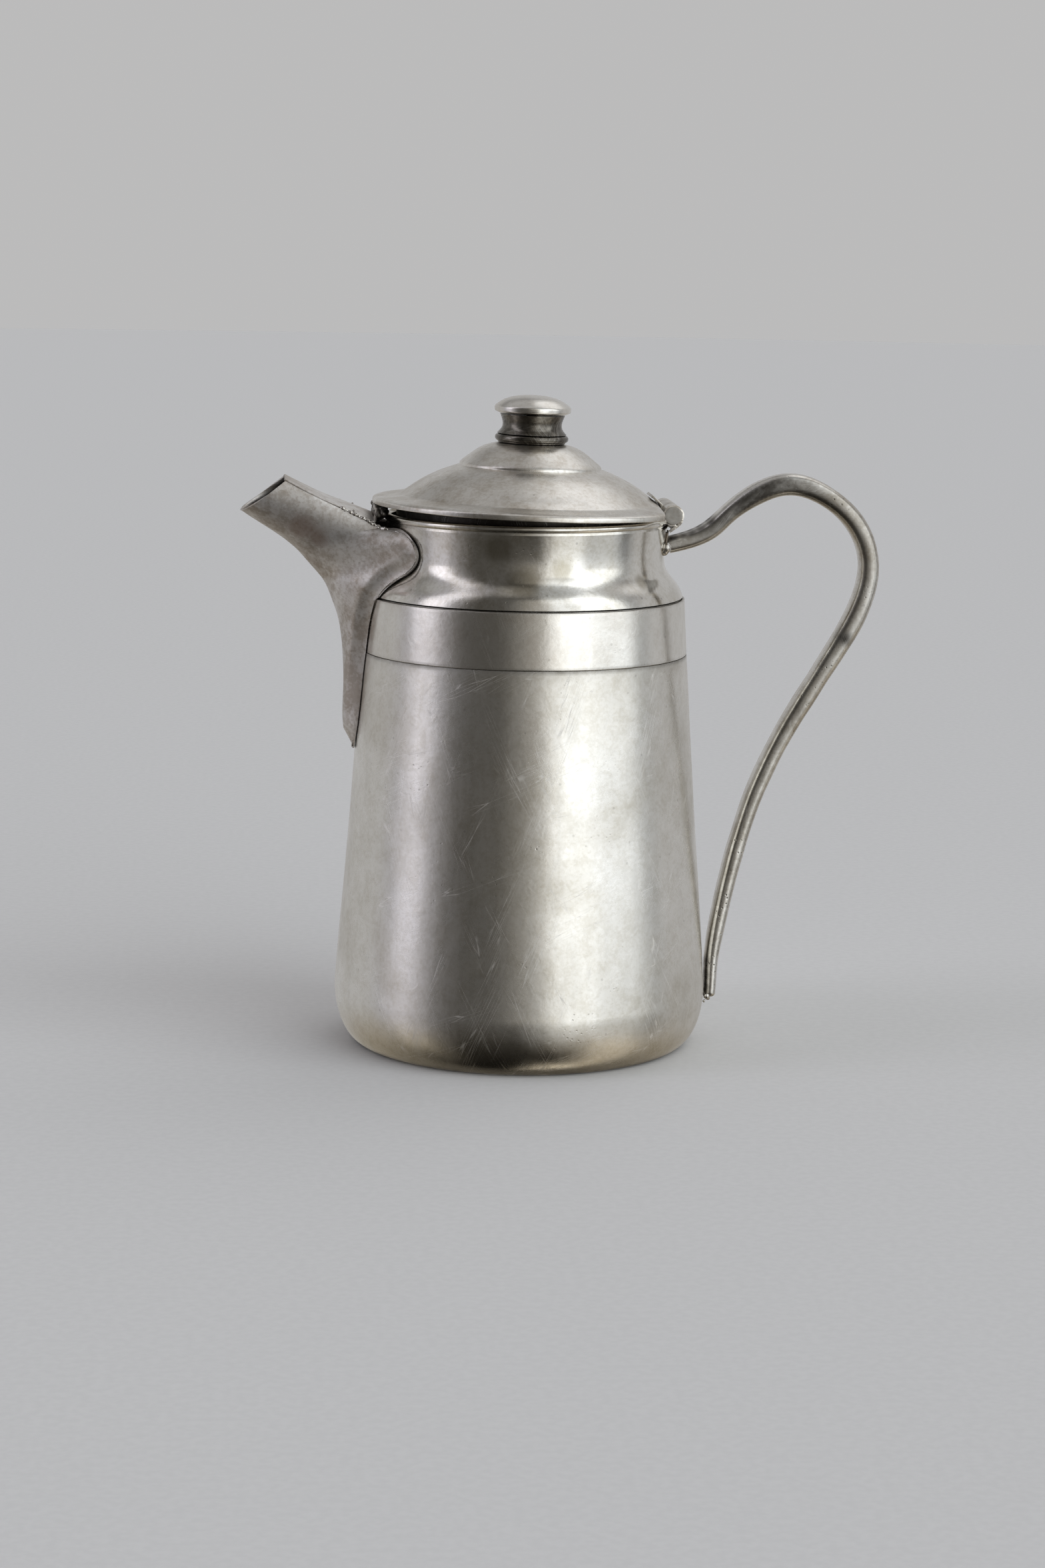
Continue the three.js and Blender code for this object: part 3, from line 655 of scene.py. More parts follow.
def pot_r(z):
    """Radius of the pot's outside at a height."""
    z = np.asarray(z, float)
    return np.where(z > RIM_LOW_Z - 0.1, RIM_R, np.interp(z, outside[:, 1], outside[:, 0]))


def keep_outside(points, margin):
    """Moves any point that is inside the pot's outside out to it, plus a margin."""
    radius = np.hypot(points[..., 0], points[..., 1])
    least = pot_r(points[..., 2]) + margin
    grow = np.where(radius < least, least / np.maximum(radius, 1e-6), 1.0)
    out = points.copy()
    out[..., :2] *= grow[..., None]
    return out


# ------------------------ body, band, neck and mouth wire
HOLE_SIDES = 24
HOLE_REACH = 6            # how far a drill goes in and out from the wall


def pierce(obj, rows):
    """Round holes through the wall behind the spout."""
    for z, angles, radius in rows:
        for angle in angles:
            n, wall = HOLE_SIDES, float(pot_r(z))
            disc = arc(0, 0, radius, 0, 360 - 360 / n, n - 1)
            ends = [np.column_stack([np.full(n, -x), disc]) for x in (wall - HOLE_REACH, wall + HOLE_REACH)]
            sides = [[i, (i + 1) % n, n + (i + 1) % n, n + i] for i in range(n)]
            turn = np.array(Matrix.Rotation(math.radians(angle), 3, "Z"))
            drill = np.vstack(ends) @ turn.T + [0, 0, z]
            cut(obj, add_mesh("drill", drill, [*sides, list(range(n)), list(range(n, 2 * n))]))


step_in = [[51.35, BAND_LOW_Z - 0.12], [band_inner(BAND_LOW_Z) - GAP, BAND_LOW_Z - 0.3]]
hidden_top = [[band_inner(BODY_TOP_Z) - GAP, BODY_TOP_Z]]
inner_side = shifted(np.vstack([foot_arc[6:], body_side[1:]]), WALL)[::-1]
body_outline = np.vstack([
    [[0, 0.55], [38, 0.5], [46, 0.0]],
    foot_arc,
    body_side[1:],
    rounded(np.vstack([body_side[-1:], step_in, hidden_top]), 0.25, loop=False)[1:],
    [[band_inner(BODY_TOP_Z) - GAP - WALL, BODY_TOP_Z]],
    inner_side[inner_side[:, 1] > WALL + 0.6],
    [[BASE_R - 1.5, WALL + 0.2], [38, 1.4], [0, 1.45]],
])
body = revolve("pot_body", dense(body_outline, 1.5), closed=False)
dent(
    body, 26, 0.16, 1,
    keep=lambda p: np.clip((BAND_LOW_Z - 3 - p[:, 2]) / 8, 0, 1) * np.clip(p[:, 2] / 14, 0, 1),
)
pierce(body, [(z, [0], 1.6) for z in (104, 110, 116)])

band_line = rounded(
    [
        [band_inner(BAND_LOW_Z), BAND_LOW_Z],
        [BAND_LOW_R, BAND_LOW_Z],
        [BAND_HIGH_R, BAND_HIGH_Z],
        [band_inner(BAND_HIGH_Z), BAND_HIGH_Z],
    ],
    0.28,
)
band = revolve("pot_band", dense(band_line, 0.9, loop=True))
dent(band, 20, 0.06, 2)

neck_line = np.vstack([
    [[band_inner(BODY_TOP_Z) - GAP, BODY_TOP_Z + GAP], [band_inner(BAND_HIGH_Z) - GAP, BAND_HIGH_Z + 0.1]],
    neck_side,
])
neck_outline = np.vstack([neck_line, shifted(neck_line, WALL)[::-1]])
neck = revolve("pot_neck", dense(neck_outline, 1.0, loop=True))
dent(neck, 18, 0.09, 3, keep=lambda p: np.clip((p[:, 2] - BAND_HIGH_Z - 2) / 5, 0, 1))
pierce(neck, [(149.8, [-9, 0, 9], 1.8), (154.6, [-13, -4.5, 4.5, 13], 1.8), (159.4, [-9, 0, 9], 1.8)])

rim_middle = (RIM_LOW_Z + RIM_HIGH_Z) / 2
rim_half = np.array([1.15, (RIM_HIGH_Z - RIM_LOW_Z) / 2])
rim_loop = np.vstack([
    arc(0, 0, 1, -60, 180, 23) * rim_half + [RIM_R - rim_half[0], rim_middle],
    [[RIM_R - 2.1, rim_middle - 0.6], [44.3, RIM_LOW_Z - 0.7], [44.95, RIM_LOW_Z - 0.6]],
])
rim = revolve("pot_rim", rim_loop)


def hinge_room(name, half):
    """A round bar about the hinge, which cuts the room that the knuckles need."""
    return bar(name, arc(HINGE[0], HINGE[2], KNUCKLE_R + GAP, 0, 345, 23), -half, half)


cut(rim, hinge_room("recess", BARREL_HALF + 0.4))

# ------------------------ spout
# Guide lines of one half, from the tip on the body to the lip: the soldered edge, the two Bezier
# handles of the cross curve, and the nose.
spout_edge = [
    [-54.9, 0.9, 95.2], [-53.8, 4.6, 103], [-52.7, 6.5, 114], [-51.6, 7.8, 125], [-50.0, 11.4, 137],
    [-48.0, 15.9, 144.4], [-44.0, 20.6, 150], [-39.0, 24.8, 153.8], [-36.3, 26.8, 158.6],
    [-38.0, 25.3, 163.2], [-41.4, 19.6, 165.6], [-46.0, 15.2, 165.7], [-49.3, 14, 167.2],
    [-57.6, 13, 171.2], [-66, 12.2, 174.8], [-76.8, 10.4, 180.2],
]
spout_flank = [
    [-55.2, 0.9, 95.2], [-55.3, 4.6, 103], [-54.9, 6.4, 114], [-54.5, 7.6, 125], [-53.8, 10.6, 136.6],
    [-52.8, 13.4, 143.4], [-51.2, 14.8, 148.8], [-47.0, 15.4, 152.8], [-44.8, 15.6, 157.8],
    [-47.2, 15.4, 162], [-51.5, 15, 164.2], [-56, 15, 164.6], [-60, 15.2, 165.4],
    [-67.4, 14.8, 168.6], [-75.4, 14.4, 171.8], [-83.2, 14, 175.2],
]
spout_nose = [
    [-55.0, 0, 94.8], [-57.1, 0, 103], [-57.0, 0, 114], [-57.4, 0, 125.5], [-58.6, 0, 135.5],
    [-60.6, 0, 142], [-62.6, 0, 147], [-64.6, 0, 150.2], [-67.1, 0, 153], [-69.6, 0, 155.8],
    [-72.1, 0, 158.6], [-75.0, 0, 161.2], [-77.9, 0, 163.4], [-82.6, 0, 166.4], [-86.8, 0, 168.9],
    [-90.4, 0, 171.2],
]
spout_nose_wide = [0.8, 2.8, 3.4, 4, 5, 6, 6.8, 7.4, 8, 8.5, 9, 9.4, 9.6, 9.6, 9.5, 9.4]
STATIONS = 150
SPOUT_COLUMNS = 27        # on each half of the spout
ROOF_COLUMNS = 41
edge = smooth_line(spout_edge, STATIONS)
flank = smooth_line(spout_flank, STATIONS)
nose = smooth_line(spout_nose, STATIONS)
shoulder = nose + [0, 1, 0] * smooth_line(spout_nose_wide, STATIONS)
s = np.linspace(0, 1, SPOUT_COLUMNS)[None, :, None]
half = (
    (1 - s) ** 3 * edge[:, None]
    + 3 * (1 - s) ** 2 * s * flank[:, None]
    + 3 * (1 - s) * s**2 * shoulder[:, None]
    + s**3 * nose[:, None]
)
spout_grid = np.concatenate([half, half[:, -2::-1] * [1, -1, 1]], axis=1)
spout_grid = keep_outside(spout_grid, 0.55)
spout = sheet("pot_spout", spout_grid, SPOUT_WALL, fix=lambda g: keep_outside(g, 0.05))
bevelled(spout, 0.22)


def feather(obj, path, reach, least):
    """Works a sheet down to the pot near its soldered edge, so that it thins out to nothing."""
    co = points_of(obj)
    away = nearest(co, path)
    radius = np.hypot(co[:, 0], co[:, 1])
    wall = pot_r(co[:, 2])
    share = least + (1 - least) * np.clip(away / reach, 0, 1)
    wanted = np.where(radius > wall, wall + (radius - wall) * share, radius)
    co[:, :2] *= (wanted / np.maximum(radius, 1e-6))[:, None]
    obj.data.vertices.foreach_set("co", (co * MM).ravel())
    obj.data.update()


guide_steps = len(spout_edge) - 1
ear_stop = int(STATIONS * 10.6 / guide_steps)
ear_edge = np.vstack([spout_grid[:ear_stop, 0], spout_grid[:ear_stop, -1]])
# The inside of the spout is painted dark as shade, all but the thin lip. The grid that it was made from is
# its inner side.
spout_inside_shade = 1 - behind(points_of(spout), spout_grid, SPOUT_WALL)
spout_inside_shade *= np.clip((nearest(points_of(spout), spout_grid[-1]) - 0.8) / 0.3, 0, 1)
feather(spout, ear_edge, 5.0, 0.2)
dent(spout, 16, 0.28, 4)

roof_from = (guide_steps - 3) / guide_steps
roof_edge = edge[int(roof_from * (STATIONS - 1)):]
run = np.linspace(0, 1, len(roof_edge))
arch = 2.0 - 1.5 * np.minimum(1, run / 0.6)
roof_up = GAP + SPOUT_WALL - 0.25
roof_rows = np.column_stack([roof_edge[:, 0], roof_edge[:, 1] + 0.3, roof_edge[:, 2] + roof_up, arch])
back = roof_rows[0]
stop = np.array([back[0] + 0.7, back[1] - 3, 172.4, 0.0])
rise = np.linspace(0, 1, 9)[:-1, None]
roof_rows = np.vstack([stop + (back - stop) * rise, roof_rows])
across = np.linspace(-1, 1, ROOF_COLUMNS)
roof_grid = np.stack(
    [
        np.broadcast_to(roof_rows[:, :1], (len(roof_rows), ROOF_COLUMNS)),
        -across[None, :] * roof_rows[:, 1:2],
        roof_rows[:, 2:3] + roof_rows[:, 3:4] * (1 - across[None, :] ** 2),
    ],
    -1,
)
roof = bevelled(sheet("pot_spout_roof", roof_grid, SPOUT_WALL), 0.22)
dent(roof, 12, 0.15, 5)

# ------------------------ handle
handle_points = [
    [45.2, 160.6, 5.3], [51.8, 162.3, 5.6], [58.2, 165.3, 6.0], [63.4, 169.9, 6.2], [68.4, 174.0, 6.4],
    [74.6, 177.8, 6.7], [82.5, 180.2, 7.0], [91.3, 178.8, 6.7], [99.6, 173.9, 6.3], [105.9, 167.2, 6.3],
    [109.6, 158.3, 6.5], [109.7, 149.6, 6.8], [106.9, 139.9, 6.9], [101.4, 129.5, 6.7],
    [94.1, 117.2, 6.5], [86.9, 105.3, 6.3], [80.4, 92.9, 6.1], [75.0, 80.5, 5.9], [70.7, 67, 5.7],
    [67.0, 52, 5.5], [64.4, 39, 5.2], [62.6, 27.5, 4.6], [62.2, 19, 4.0], [62.0, 13.4, 3.8],
]
HANDLE_STEPS, HANDLE_SIDES = 420, 48
END_STEPS = 7             # steps over which the lower end is rounded
handle_line = smooth_line(handle_points, HANDLE_STEPS)
along = np.gradient(handle_line[:, :2], axis=0)
along /= np.linalg.norm(along, axis=1)[:, None]
angle = np.arange(HANDLE_SIDES) * 2 * math.pi / HANDLE_SIDES
c, s = np.cos(angle), np.sin(angle)
squareness = 0.72
c, s = np.sign(c) * np.abs(c) ** squareness, np.sign(s) * np.abs(s) ** squareness
past = (np.arange(HANDLE_STEPS) - (HANDLE_STEPS - END_STEPS)) / (END_STEPS - 0.5)
end_round = np.sqrt(1 - np.clip(past, 0, 0.93) ** 2)
deep = handle_line[:, 2] / 2 * end_round
wide = HANDLE_WIDE / 2 * end_round
rings = np.stack(
    [
        handle_line[:, :1] - along[:, 1:] * deep[:, None] * c,
        wide[:, None] * s,
        handle_line[:, 1:2] + along[:, :1] * deep[:, None] * c,
    ],
    -1,
)
rings = keep_outside(rings, 0.05)
handle = tube("pot_handle", rings)
dent(handle, 11, 0.22, 6)

angles = np.radians(np.linspace(SADDLE_HALF_ANGLE, -SADDLE_HALF_ANGLE, 61))[None, :]
heights = np.linspace(SADDLE_LOW_Z, SADDLE_HIGH_Z, 15)[:, None]
saddle_r = pot_r(heights) + 0.75
saddle_grid = np.stack(
    np.broadcast_arrays(saddle_r * np.cos(angles), saddle_r * np.sin(angles), heights), -1
)
saddle = bevelled(sheet("pot_saddle", saddle_grid, 0.7), 0.3, 3)
dent(saddle, 5, 0.2, 7)


# ------------------------ hinge
def curl(name, low, high, start, stop):
    ring = np.vstack([
        arc(HINGE[0], HINGE[2], KNUCKLE_R, start, stop, 44),
        arc(HINGE[0], HINGE[2], PIN_R + GAP, start, stop, 44)[::-1],
    ])
    return bar(name, ring, low, high)


LEAF_FOOT_R, LEAF_FOOT_Z = 46.3, 165.7
meets = math.radians(24)  # where the fixed leaf runs into its knuckles, below the pin's level
leaf_top_x, leaf_top_z = HINGE[0] + KNUCKLE_R * math.cos(meets), HINGE[2] - KNUCKLE_R * math.sin(meets)
y = np.linspace(BARREL_HALF, -BARREL_HALF, 49)
t = np.linspace(0, 1, 21)[:, None]
foot_x = np.sqrt(LEAF_FOOT_R**2 - y**2)
leaf_x = foot_x + (leaf_top_x - foot_x) * np.sin(t * math.pi / 2)
leaf_z = LEAF_FOOT_Z + (leaf_top_z - LEAF_FOOT_Z) * t
leaf_grid = np.stack(np.broadcast_arrays(leaf_x, y, leaf_z), -1)
leaf = sheet("pot_hinge_leaf", leaf_grid, 0.9)
cut(leaf, hinge_room("room", LID_KNUCKLE_HALF + GAP))
for low, high in ((-BARREL_HALF, -LID_KNUCKLE_HALF - GAP), (LID_KNUCKLE_HALF + GAP, BARREL_HALF)):
    cut(leaf, curl("curl", low, high, -28, 285), "UNION")
bevelled(leaf, 0.2)

pin_half = span("hinge_pin")[1][1]
head_r, head_thick = KNUCKLE_R - 0.45, 0.35
pin_side = rounded(
    [
        [0, -pin_half], [head_r, -pin_half], [head_r, head_thick - pin_half], [PIN_R, head_thick - pin_half],
        [PIN_R, pin_half - head_thick], [head_r, pin_half - head_thick], [head_r, pin_half], [0, pin_half],
    ],
    0.15, 4, loop=False,
)
pin = revolve("pot_hinge_pin", dense(pin_side, 1.0), 40, closed=False)
turned = np.array([[v.co.x / MM, v.co.y / MM, v.co.z / MM] for v in pin.data.vertices])
for vertex, (px, py, pz) in zip(pin.data.vertices, turned):
    vertex.co = Vector((px + HINGE[0], pz, -py + HINGE[2])) * MM


# ------------------------ lid, made closed and then set ajar
def ajar(obj):
    """Turns a lid piece about the hinge from closed to its resting place."""
    hinge = Matrix.Translation(Vector(HINGE) * MM)
    obj.data.transform(hinge @ Matrix.Rotation(LID_AJAR, 4, "Y") @ hinge.inverted())
    return obj


STEP_R, STEP_Z, LID_TOP_Z, STUD_R = 22.4, 183.4, 191.5, 2.0
lid_low = smooth_line([[41.2, 173.75], [38.6, 175.4], [35, 178.0], [29.1, 181.2], [STEP_R + 0.9, STEP_Z]], 40)
lid_high = smooth_line([[22.0, 184.9], [18.9, 187.3], [15.2, 189.7], [10.5, 191.1], [6.0, 191.45]], 30)
lip = rounded([[LID_R, LID_UNDER_Z], [LID_R, 172.2], [LID_R - 1.5, 172.7], [43.4, 173.3]], 0.7, 5, loop=False)
lid_top = np.vstack([lip, lid_low, [[STEP_R + 0.1, STEP_Z + 0.25], [STEP_R + 0.1, STEP_Z + 0.9]], lid_high])
lid_outline = np.vstack([
    lid_top,
    [[STUD_R + GAP, LID_TOP_Z], [STUD_R + GAP, LID_TOP_Z - WALL]],
    shifted(lid_high, WALL)[::-1],
    [[STEP_R - WALL, STEP_Z + 0.2]],
    shifted(lid_low, WALL)[::-1],
    [[LID_R - WALL, 171.6], [LID_R - WALL, LID_UNDER_Z]],
])
lid = revolve("pot_lid", dense(rounded(lid_outline, 0.22), 1.1, loop=True), centre=LID_X)
dent(lid, 20, 0.14, 8)
chord = bar("chord", [[LID_CHORD_X, 150], [80, 150], [80, 200], [LID_CHORD_X, 200]], -60, 60)
ajar(cut(lid, chord))

bezel_r, bezel_low_z = 41.8, 165.6
bezel_line = rounded(
    [[bezel_r, bezel_low_z], [bezel_r, 172.0], [bezel_r - 0.9, 172.0], [bezel_r - 0.9, bezel_low_z]], 0.25
)
bezel = revolve("pot_bezel", dense(bezel_line, 1.0, loop=True), centre=LID_X)
inner_chord = LID_CHORD_X - 1.6
chord = bar("chord", [[inner_chord, 150], [80, 150], [80, 200], [inner_chord, 200]], -60, 60)
ajar(cut(bezel, chord))

lid_knuckle = curl("pot_lid_leaf", -LID_KNUCKLE_HALF, LID_KNUCKLE_HALF, -140, 190)
hx, hz = HINGE[0], HINGE[2]
bore = PIN_R + GAP
plate = bar(
    "plate",
    [
        [hx - bore - 0.5, hz + 0.9], [hx - bore - 0.2, 173.8], [39.2, 176.7], [38.6, 176.1], [41.2, 174.3],
        [hx - KNUCKLE_R - 0.2, 173.4], [hx - KNUCKLE_R, hz + 0.6],
    ],
    -LID_KNUCKLE_HALF,
    LID_KNUCKLE_HALF,
)
lid_leaf = bevelled(cut(lid_knuckle, plate, "UNION"), 0.18)
ajar(lid_leaf)

# ------------------------ knob
COLLAR_LOW_Z, COLLAR_HIGH_Z, SPOOL_HIGH_Z, KNOB_TOP_Z, CAP_FLOOR_Z = 191.6, 194.0, 200.0, 206.3, 201.4
KNOB_TURNS = 120
bore = STUD_R + GAP


def knob_piece(name, outline, radius, turns=KNOB_TURNS):
    return ajar(revolve(name, dense(rounded(outline, radius, 4), 0.4, loop=True), turns, centre=LID_X))


collar = knob_piece(
    "pot_knob_collar",
    np.vstack([
        [[bore, COLLAR_LOW_Z], [6.0, COLLAR_LOW_Z], [10.6, COLLAR_LOW_Z - 0.32]],
        arc(10.55, (COLLAR_LOW_Z + COLLAR_HIGH_Z) / 2, 1.1, -75, 75, 12),
        [[10.0, COLLAR_HIGH_Z], [bore, COLLAR_HIGH_Z]],
    ]),
    0.2,
)
spool_side = smooth_line(
    [
        [11.0, COLLAR_HIGH_Z + 0.1], [10.3, 194.9], [9.55, 196.0], [9.4, 197.4], [9.75, 198.8],
        [10.3, SPOOL_HIGH_Z + 0.2],
    ],
    30,
)
spool = knob_piece(
    "pot_knob_spool",
    np.vstack([[[bore, COLLAR_HIGH_Z + 0.1]], spool_side, [[bore, SPOOL_HIGH_Z + 0.2]]]),
    0.15,
)
cap_top = smooth_line([[11.75, 202.95], [9.4, 204.6], [6.4, 205.65], [3.2, 206.15], [0.01, KNOB_TOP_Z]], 30)
cap_under = smooth_line([[0.01, KNOB_TOP_Z - WALL], [6, 204.9], [10.2, 203.2]], 14)
cap_outline = np.vstack([
    [[bore, CAP_FLOOR_Z - 0.9], [10.7, CAP_FLOOR_Z - 0.9], [12.05, 201.1], [12.15, 202.5]],
    cap_top,
    cap_under,
    [[10.6, 202.4], [10.2, CAP_FLOOR_Z + 0.1], [bore, CAP_FLOOR_Z + 0.1]],
])
cap = knob_piece("pot_knob_cap", cap_outline, 0.28)
threads = [[STUD_R - 0.22 * (k % 2), 184.6 + 0.3 * k] for k in range(1, 55)]
stud = ajar(revolve(
    "pot_knob_stud",
    np.vstack([
        [[0, 184.5], [STUD_R - 0.6, 184.5]],
        threads,
        [[STUD_R, CAP_FLOOR_Z + GAP], [5.2, CAP_FLOOR_Z + GAP], [5.2, 202.7], [4.6, 203.2], [0, 203.2]],
    ]),
    40,
    closed=False,
    centre=LID_X,
))
washer = knob_piece("pot_knob_washer", [[bore, 189.3], [6, 189.3], [6, 190.2], [bore, 190.2]], 0.2, 64)
nut = ajar(revolve(
    "pot_knob_nut",
    [[bore, 186.9], [3.9, 186.9], [4.3, 187.3], [4.3, 188.6], [3.9, 189.0], [bore, 189.0]],
    6,
    centre=LID_X,
))
bevelled(nut, 0.12)


# ------------------------ solder
def mirrored(points):
    return np.asarray(points) * [1, -1, 1]


ear_path = keep_outside(edge[:ear_stop], 0.2)
seam_path = edge[int(STATIONS * 10.7 / guide_steps): int(STATIONS * 13.2 / guide_steps)] + [0, 0.2, 0.5]
handle_drop = np.array([[43.3, 8.8, 159.4], [43.4, 8.8, 160.3]])
foot_run = [[60.6, -4.0, 14.4], [61.2, -3.6, 13.4], [61.2, 3.6, 13.4], [60.6, 4.0, 14.4]]
stop_back = [[back[0] + 1.6, dy, 170.2] for dy in (-12.2, -6, 0, 6, 12.2)]
stop_rim = [[back[0] + 3.1, dy, 170.7] for dy in (-12.6, -6, 0, 6, 12.6)]
# Name, path, radius, seed, spread of the drops, share of loose grains, and fineness.
solder_pieces = [
    solder(*run)
    for run in (
        ("solder_ear_near", mirrored(ear_path), 0.24, 11, 0.3, 0.2, 0.16),
        ("solder_ear_far", ear_path, 0.24, 12, 0.3, 0.2, 0.16),
        ("solder_roof_near", mirrored(seam_path), 0.62, 13, 0.35, 0.5, 0.16),
        ("solder_roof_far", seam_path, 0.62, 14, 0.35, 0.5, 0.16),
        ("solder_handle_near", mirrored(handle_drop), 1.7, 15, 0.1, 0.4, 0.2),
        ("solder_handle_far", handle_drop, 1.7, 16, 0.1, 0.4, 0.2),
        ("solder_handle_foot", foot_run, 0.8, 17, 0.3, 0.4, 0.2),
        ("solder_roof_stop", stop_back, 1.5, 18, 0.25, 0.5, 0.3),
        ("solder_roof_rim", stop_rim, 1.25, 19, 0.2, 0.4, 0.3),
    )
]
stop_solder = solder_pieces[-2:]


# ------------------------ darker along the joints; painted shade in the spout, under its roof, round the base and on the handle
def seam(p, z, reach):
    """1 at a height, fading to 0 above and below it."""
    return np.exp(-(((p[:, 2] - z) / reach) ** 2))


both_ears = np.vstack([ear_path, mirrored(ear_path)])[::2]
handle_foot = [[59.9, dy, z] for dy in (-4, 0, 4) for z in (13, 17, 21, 25)]
handle_top = [[46, dy, 162] for dy in (-3, 0, 3)]
# Where the handle rises under the hinge; these points carry painted shade.
dark_top = ((47, 163.8), (49.5, 164.6), (52, 165.4), (55, 167), (58, 168.8))
handle_neck = [[x, dy, z] for dy in (-4, 0, 4) for x, z in dark_top]
roof_seams = np.vstack([seam_path, mirrored(seam_path)])[::2]
roof_stop = [[back[0], dy, back[2]] for dy in np.linspace(-12, 12, 13)]
grime_and_shade(body, lambda p: [
    0.6 * seam(p, BAND_LOW_Z, 0.35),
    0.12 * seam(p, BAND_LOW_Z, 2.6),
    0.5 * near(p, both_ears, 0.45),
    0.5 * near(p, handle_foot, 1.6),
    # Painted shade round the base, where the pot stands on the floor.
    0.8 * seam(p, 0, 1.6),
])
grime_and_shade(band, lambda p: [
    0.45 * seam(p, BAND_LOW_Z, 0.25), 0.45 * seam(p, BAND_HIGH_Z, 0.25), 0.5 * near(p, both_ears, 0.45)
])
grime_and_shade(neck, lambda p: [
    0.5 * seam(p, BAND_HIGH_Z, 0.5), 0.55 * near(p, both_ears, 0.5)
])
grime_and_shade(rim, lambda p: [0.15 * seam(p, RIM_LOW_Z, 0.5)])
grime_and_shade(spout, lambda p: [
    # The inside of the spout is painted dark as shade.
    0.5 * near(p, both_ears, 0.4), 0.5 * near(p, roof_seams, 0.8), 0.95 * spout_inside_shade
])
# The underside of the roof is painted dark as shade.
grime_and_shade(roof, lambda p: [0.75 * near(p, roof_stop, 2.2), 0.95 * behind(p, roof_grid, SPOUT_WALL)])
grime_and_shade(saddle, even(0.2))
ARCH_X = 73               # middle of the handle's darkest stretch


def handle_tarnish_and_reflection(p):
    """Flat faces darkened, partly by tarnish and partly as a painted dark reflection, with the edges rubbed
    bright, darkest over the arch.
    """
    middle = handle_line[::4]
    step = np.argmin(np.hypot(p[:, :1] - middle[:, 0], p[:, 2:] - middle[:, 1]), axis=1)
    offset = np.hypot(p[:, 0] - middle[step, 0], p[:, 2] - middle[step, 1]) / (middle[step, 2] / 2)
    flat = np.clip((np.abs(p[:, 1]) - 2.6) / 1.2, 0, 1) * np.clip((0.98 - offset) / 0.5, 0, 1)
    arch_share = np.exp(-(((p[:, 0] - ARCH_X) / 18) ** 2)) * np.clip((p[:, 2] - 155) / 10, 0, 1)
    low_share = np.clip((105 - p[:, 2]) / 40, 0, 1)
    return flat * (0.34 + 0.62 * arch_share - 0.14 * low_share)


grime_and_shade(handle, lambda p: [
    0.7 * near(p, handle_top, 2.2),
    0.45 * near(p, handle_foot, 2.5),
    # Painted shade where the handle rises under the hinge.
    near(p, handle_neck, 2.3),
    # Dark spots painted on the front face only, as a dark reflection.
    near(p, [[102.3, -4.5, 131.5]], 3.2),
    0.5 * near(p, [[97, -4.5, 123]], 3.0),
    # Flat faces darkened by tarnish and by a painted dark reflection.
    handle_tarnish_and_reflection(p),
])
grime_and_shade(leaf, lambda p: [0.3 * seam(p, 165.9, 1.0)])
grime_and_shade(pin, even(0.5))
grime_and_shade(lid_leaf, even(0.15))
for piece in solder_pieces:
    grime_and_shade(piece, even(0.75 if piece in stop_solder else 0.1))

# ------------------------ bodies and finishes
for obj, material, body_name, slot, *nodes in (
    (body, body_finish, "pot", "body_silver", "body_shell"),
    (band, band_finish, "pot", "band_silver", "neck_band"),
    (neck, neck_finish, "pot", "neck_silver", "neck_shell"),
    (rim, neck_finish, "pot", "neck_silver", "rim_wire"),
    (spout, spout_finish, "pot", "spout_silver", "spout_shell"),
    (roof, spout_finish, "pot", "spout_silver", "spout_roof"),
    (saddle, saddle_finish, "pot", "tarnished_silver", "handle_saddle"),
    (handle, handle_finish, "pot", "handle_silver", "handle_bar"),
    (leaf, hinge_finish, "pot", "hinge_silver", "hinge_leaf_body"),
    (pin, hinge_finish, "pot", "tarnished_silver", "hinge_pin"),
    (lid, lid_finish, "lid", "lid_silver", "lid_shell"),
    (bezel, bezel_shade_finish, "lid", "lid_silver", "lid_bezel"),
    (lid_leaf, hinge_finish, "lid", "hinge_silver", "hinge_leaf_lid"),
    (collar, black_finish, "lid", "tarnished_silver", "knob_collar"),
    (spool, black_finish, "lid", "tarnished_silver", "knob_spool"),
    (cap, cap_finish, "lid", "lid_silver", "knob_cap"),
    (stud, steel_finish, "lid", "fixing_steel", "knob_stud"),
    (washer, steel_finish, "lid", "fixing_steel", "knob_washer"),
    (nut, steel_finish, "lid", "fixing_steel", "knob_nut"),
):
    finish_piece(obj, material, body_name, slot, *nodes)
for piece in solder_pieces:
    finish_piece(piece, solder_finish, "pot", "tarnished_silver", sharp=80)

# ------------------------ camera
CAMERA_HEADING = -4.5     # degrees
CAMERA_PLACE = (-0.0867, -1.1016, 0.268)
SENSOR, LENS = 36, 80
heading = math.radians(CAMERA_HEADING)
pitch = math.radians(9.5)
roll = math.radians(0.95)
level = Vector((-math.sin(heading), math.cos(heading), 0))
forward = level * math.cos(pitch) - Vector((0, 0, math.sin(pitch)))
right = forward.cross(Vector((0, 0, 1))).normalized()
up = right.cross(forward)
camera_right = right * math.cos(roll) + up * math.sin(roll)
camera_up = up * math.cos(roll) - right * math.sin(roll)
camera = bpy.data.objects.new("camera", bpy.data.cameras.new("camera"))
camera.data.sensor_fit = "VERTICAL"
camera.data.sensor_height = SENSOR
camera.data.lens = LENS
camera.matrix_world = Matrix.Translation(CAMERA_PLACE) @ Matrix(
    (camera_right, camera_up, -forward)
).transposed().to_4x4()
bpy.context.scene.collection.objects.link(camera)
bpy.context.scene.camera = camera

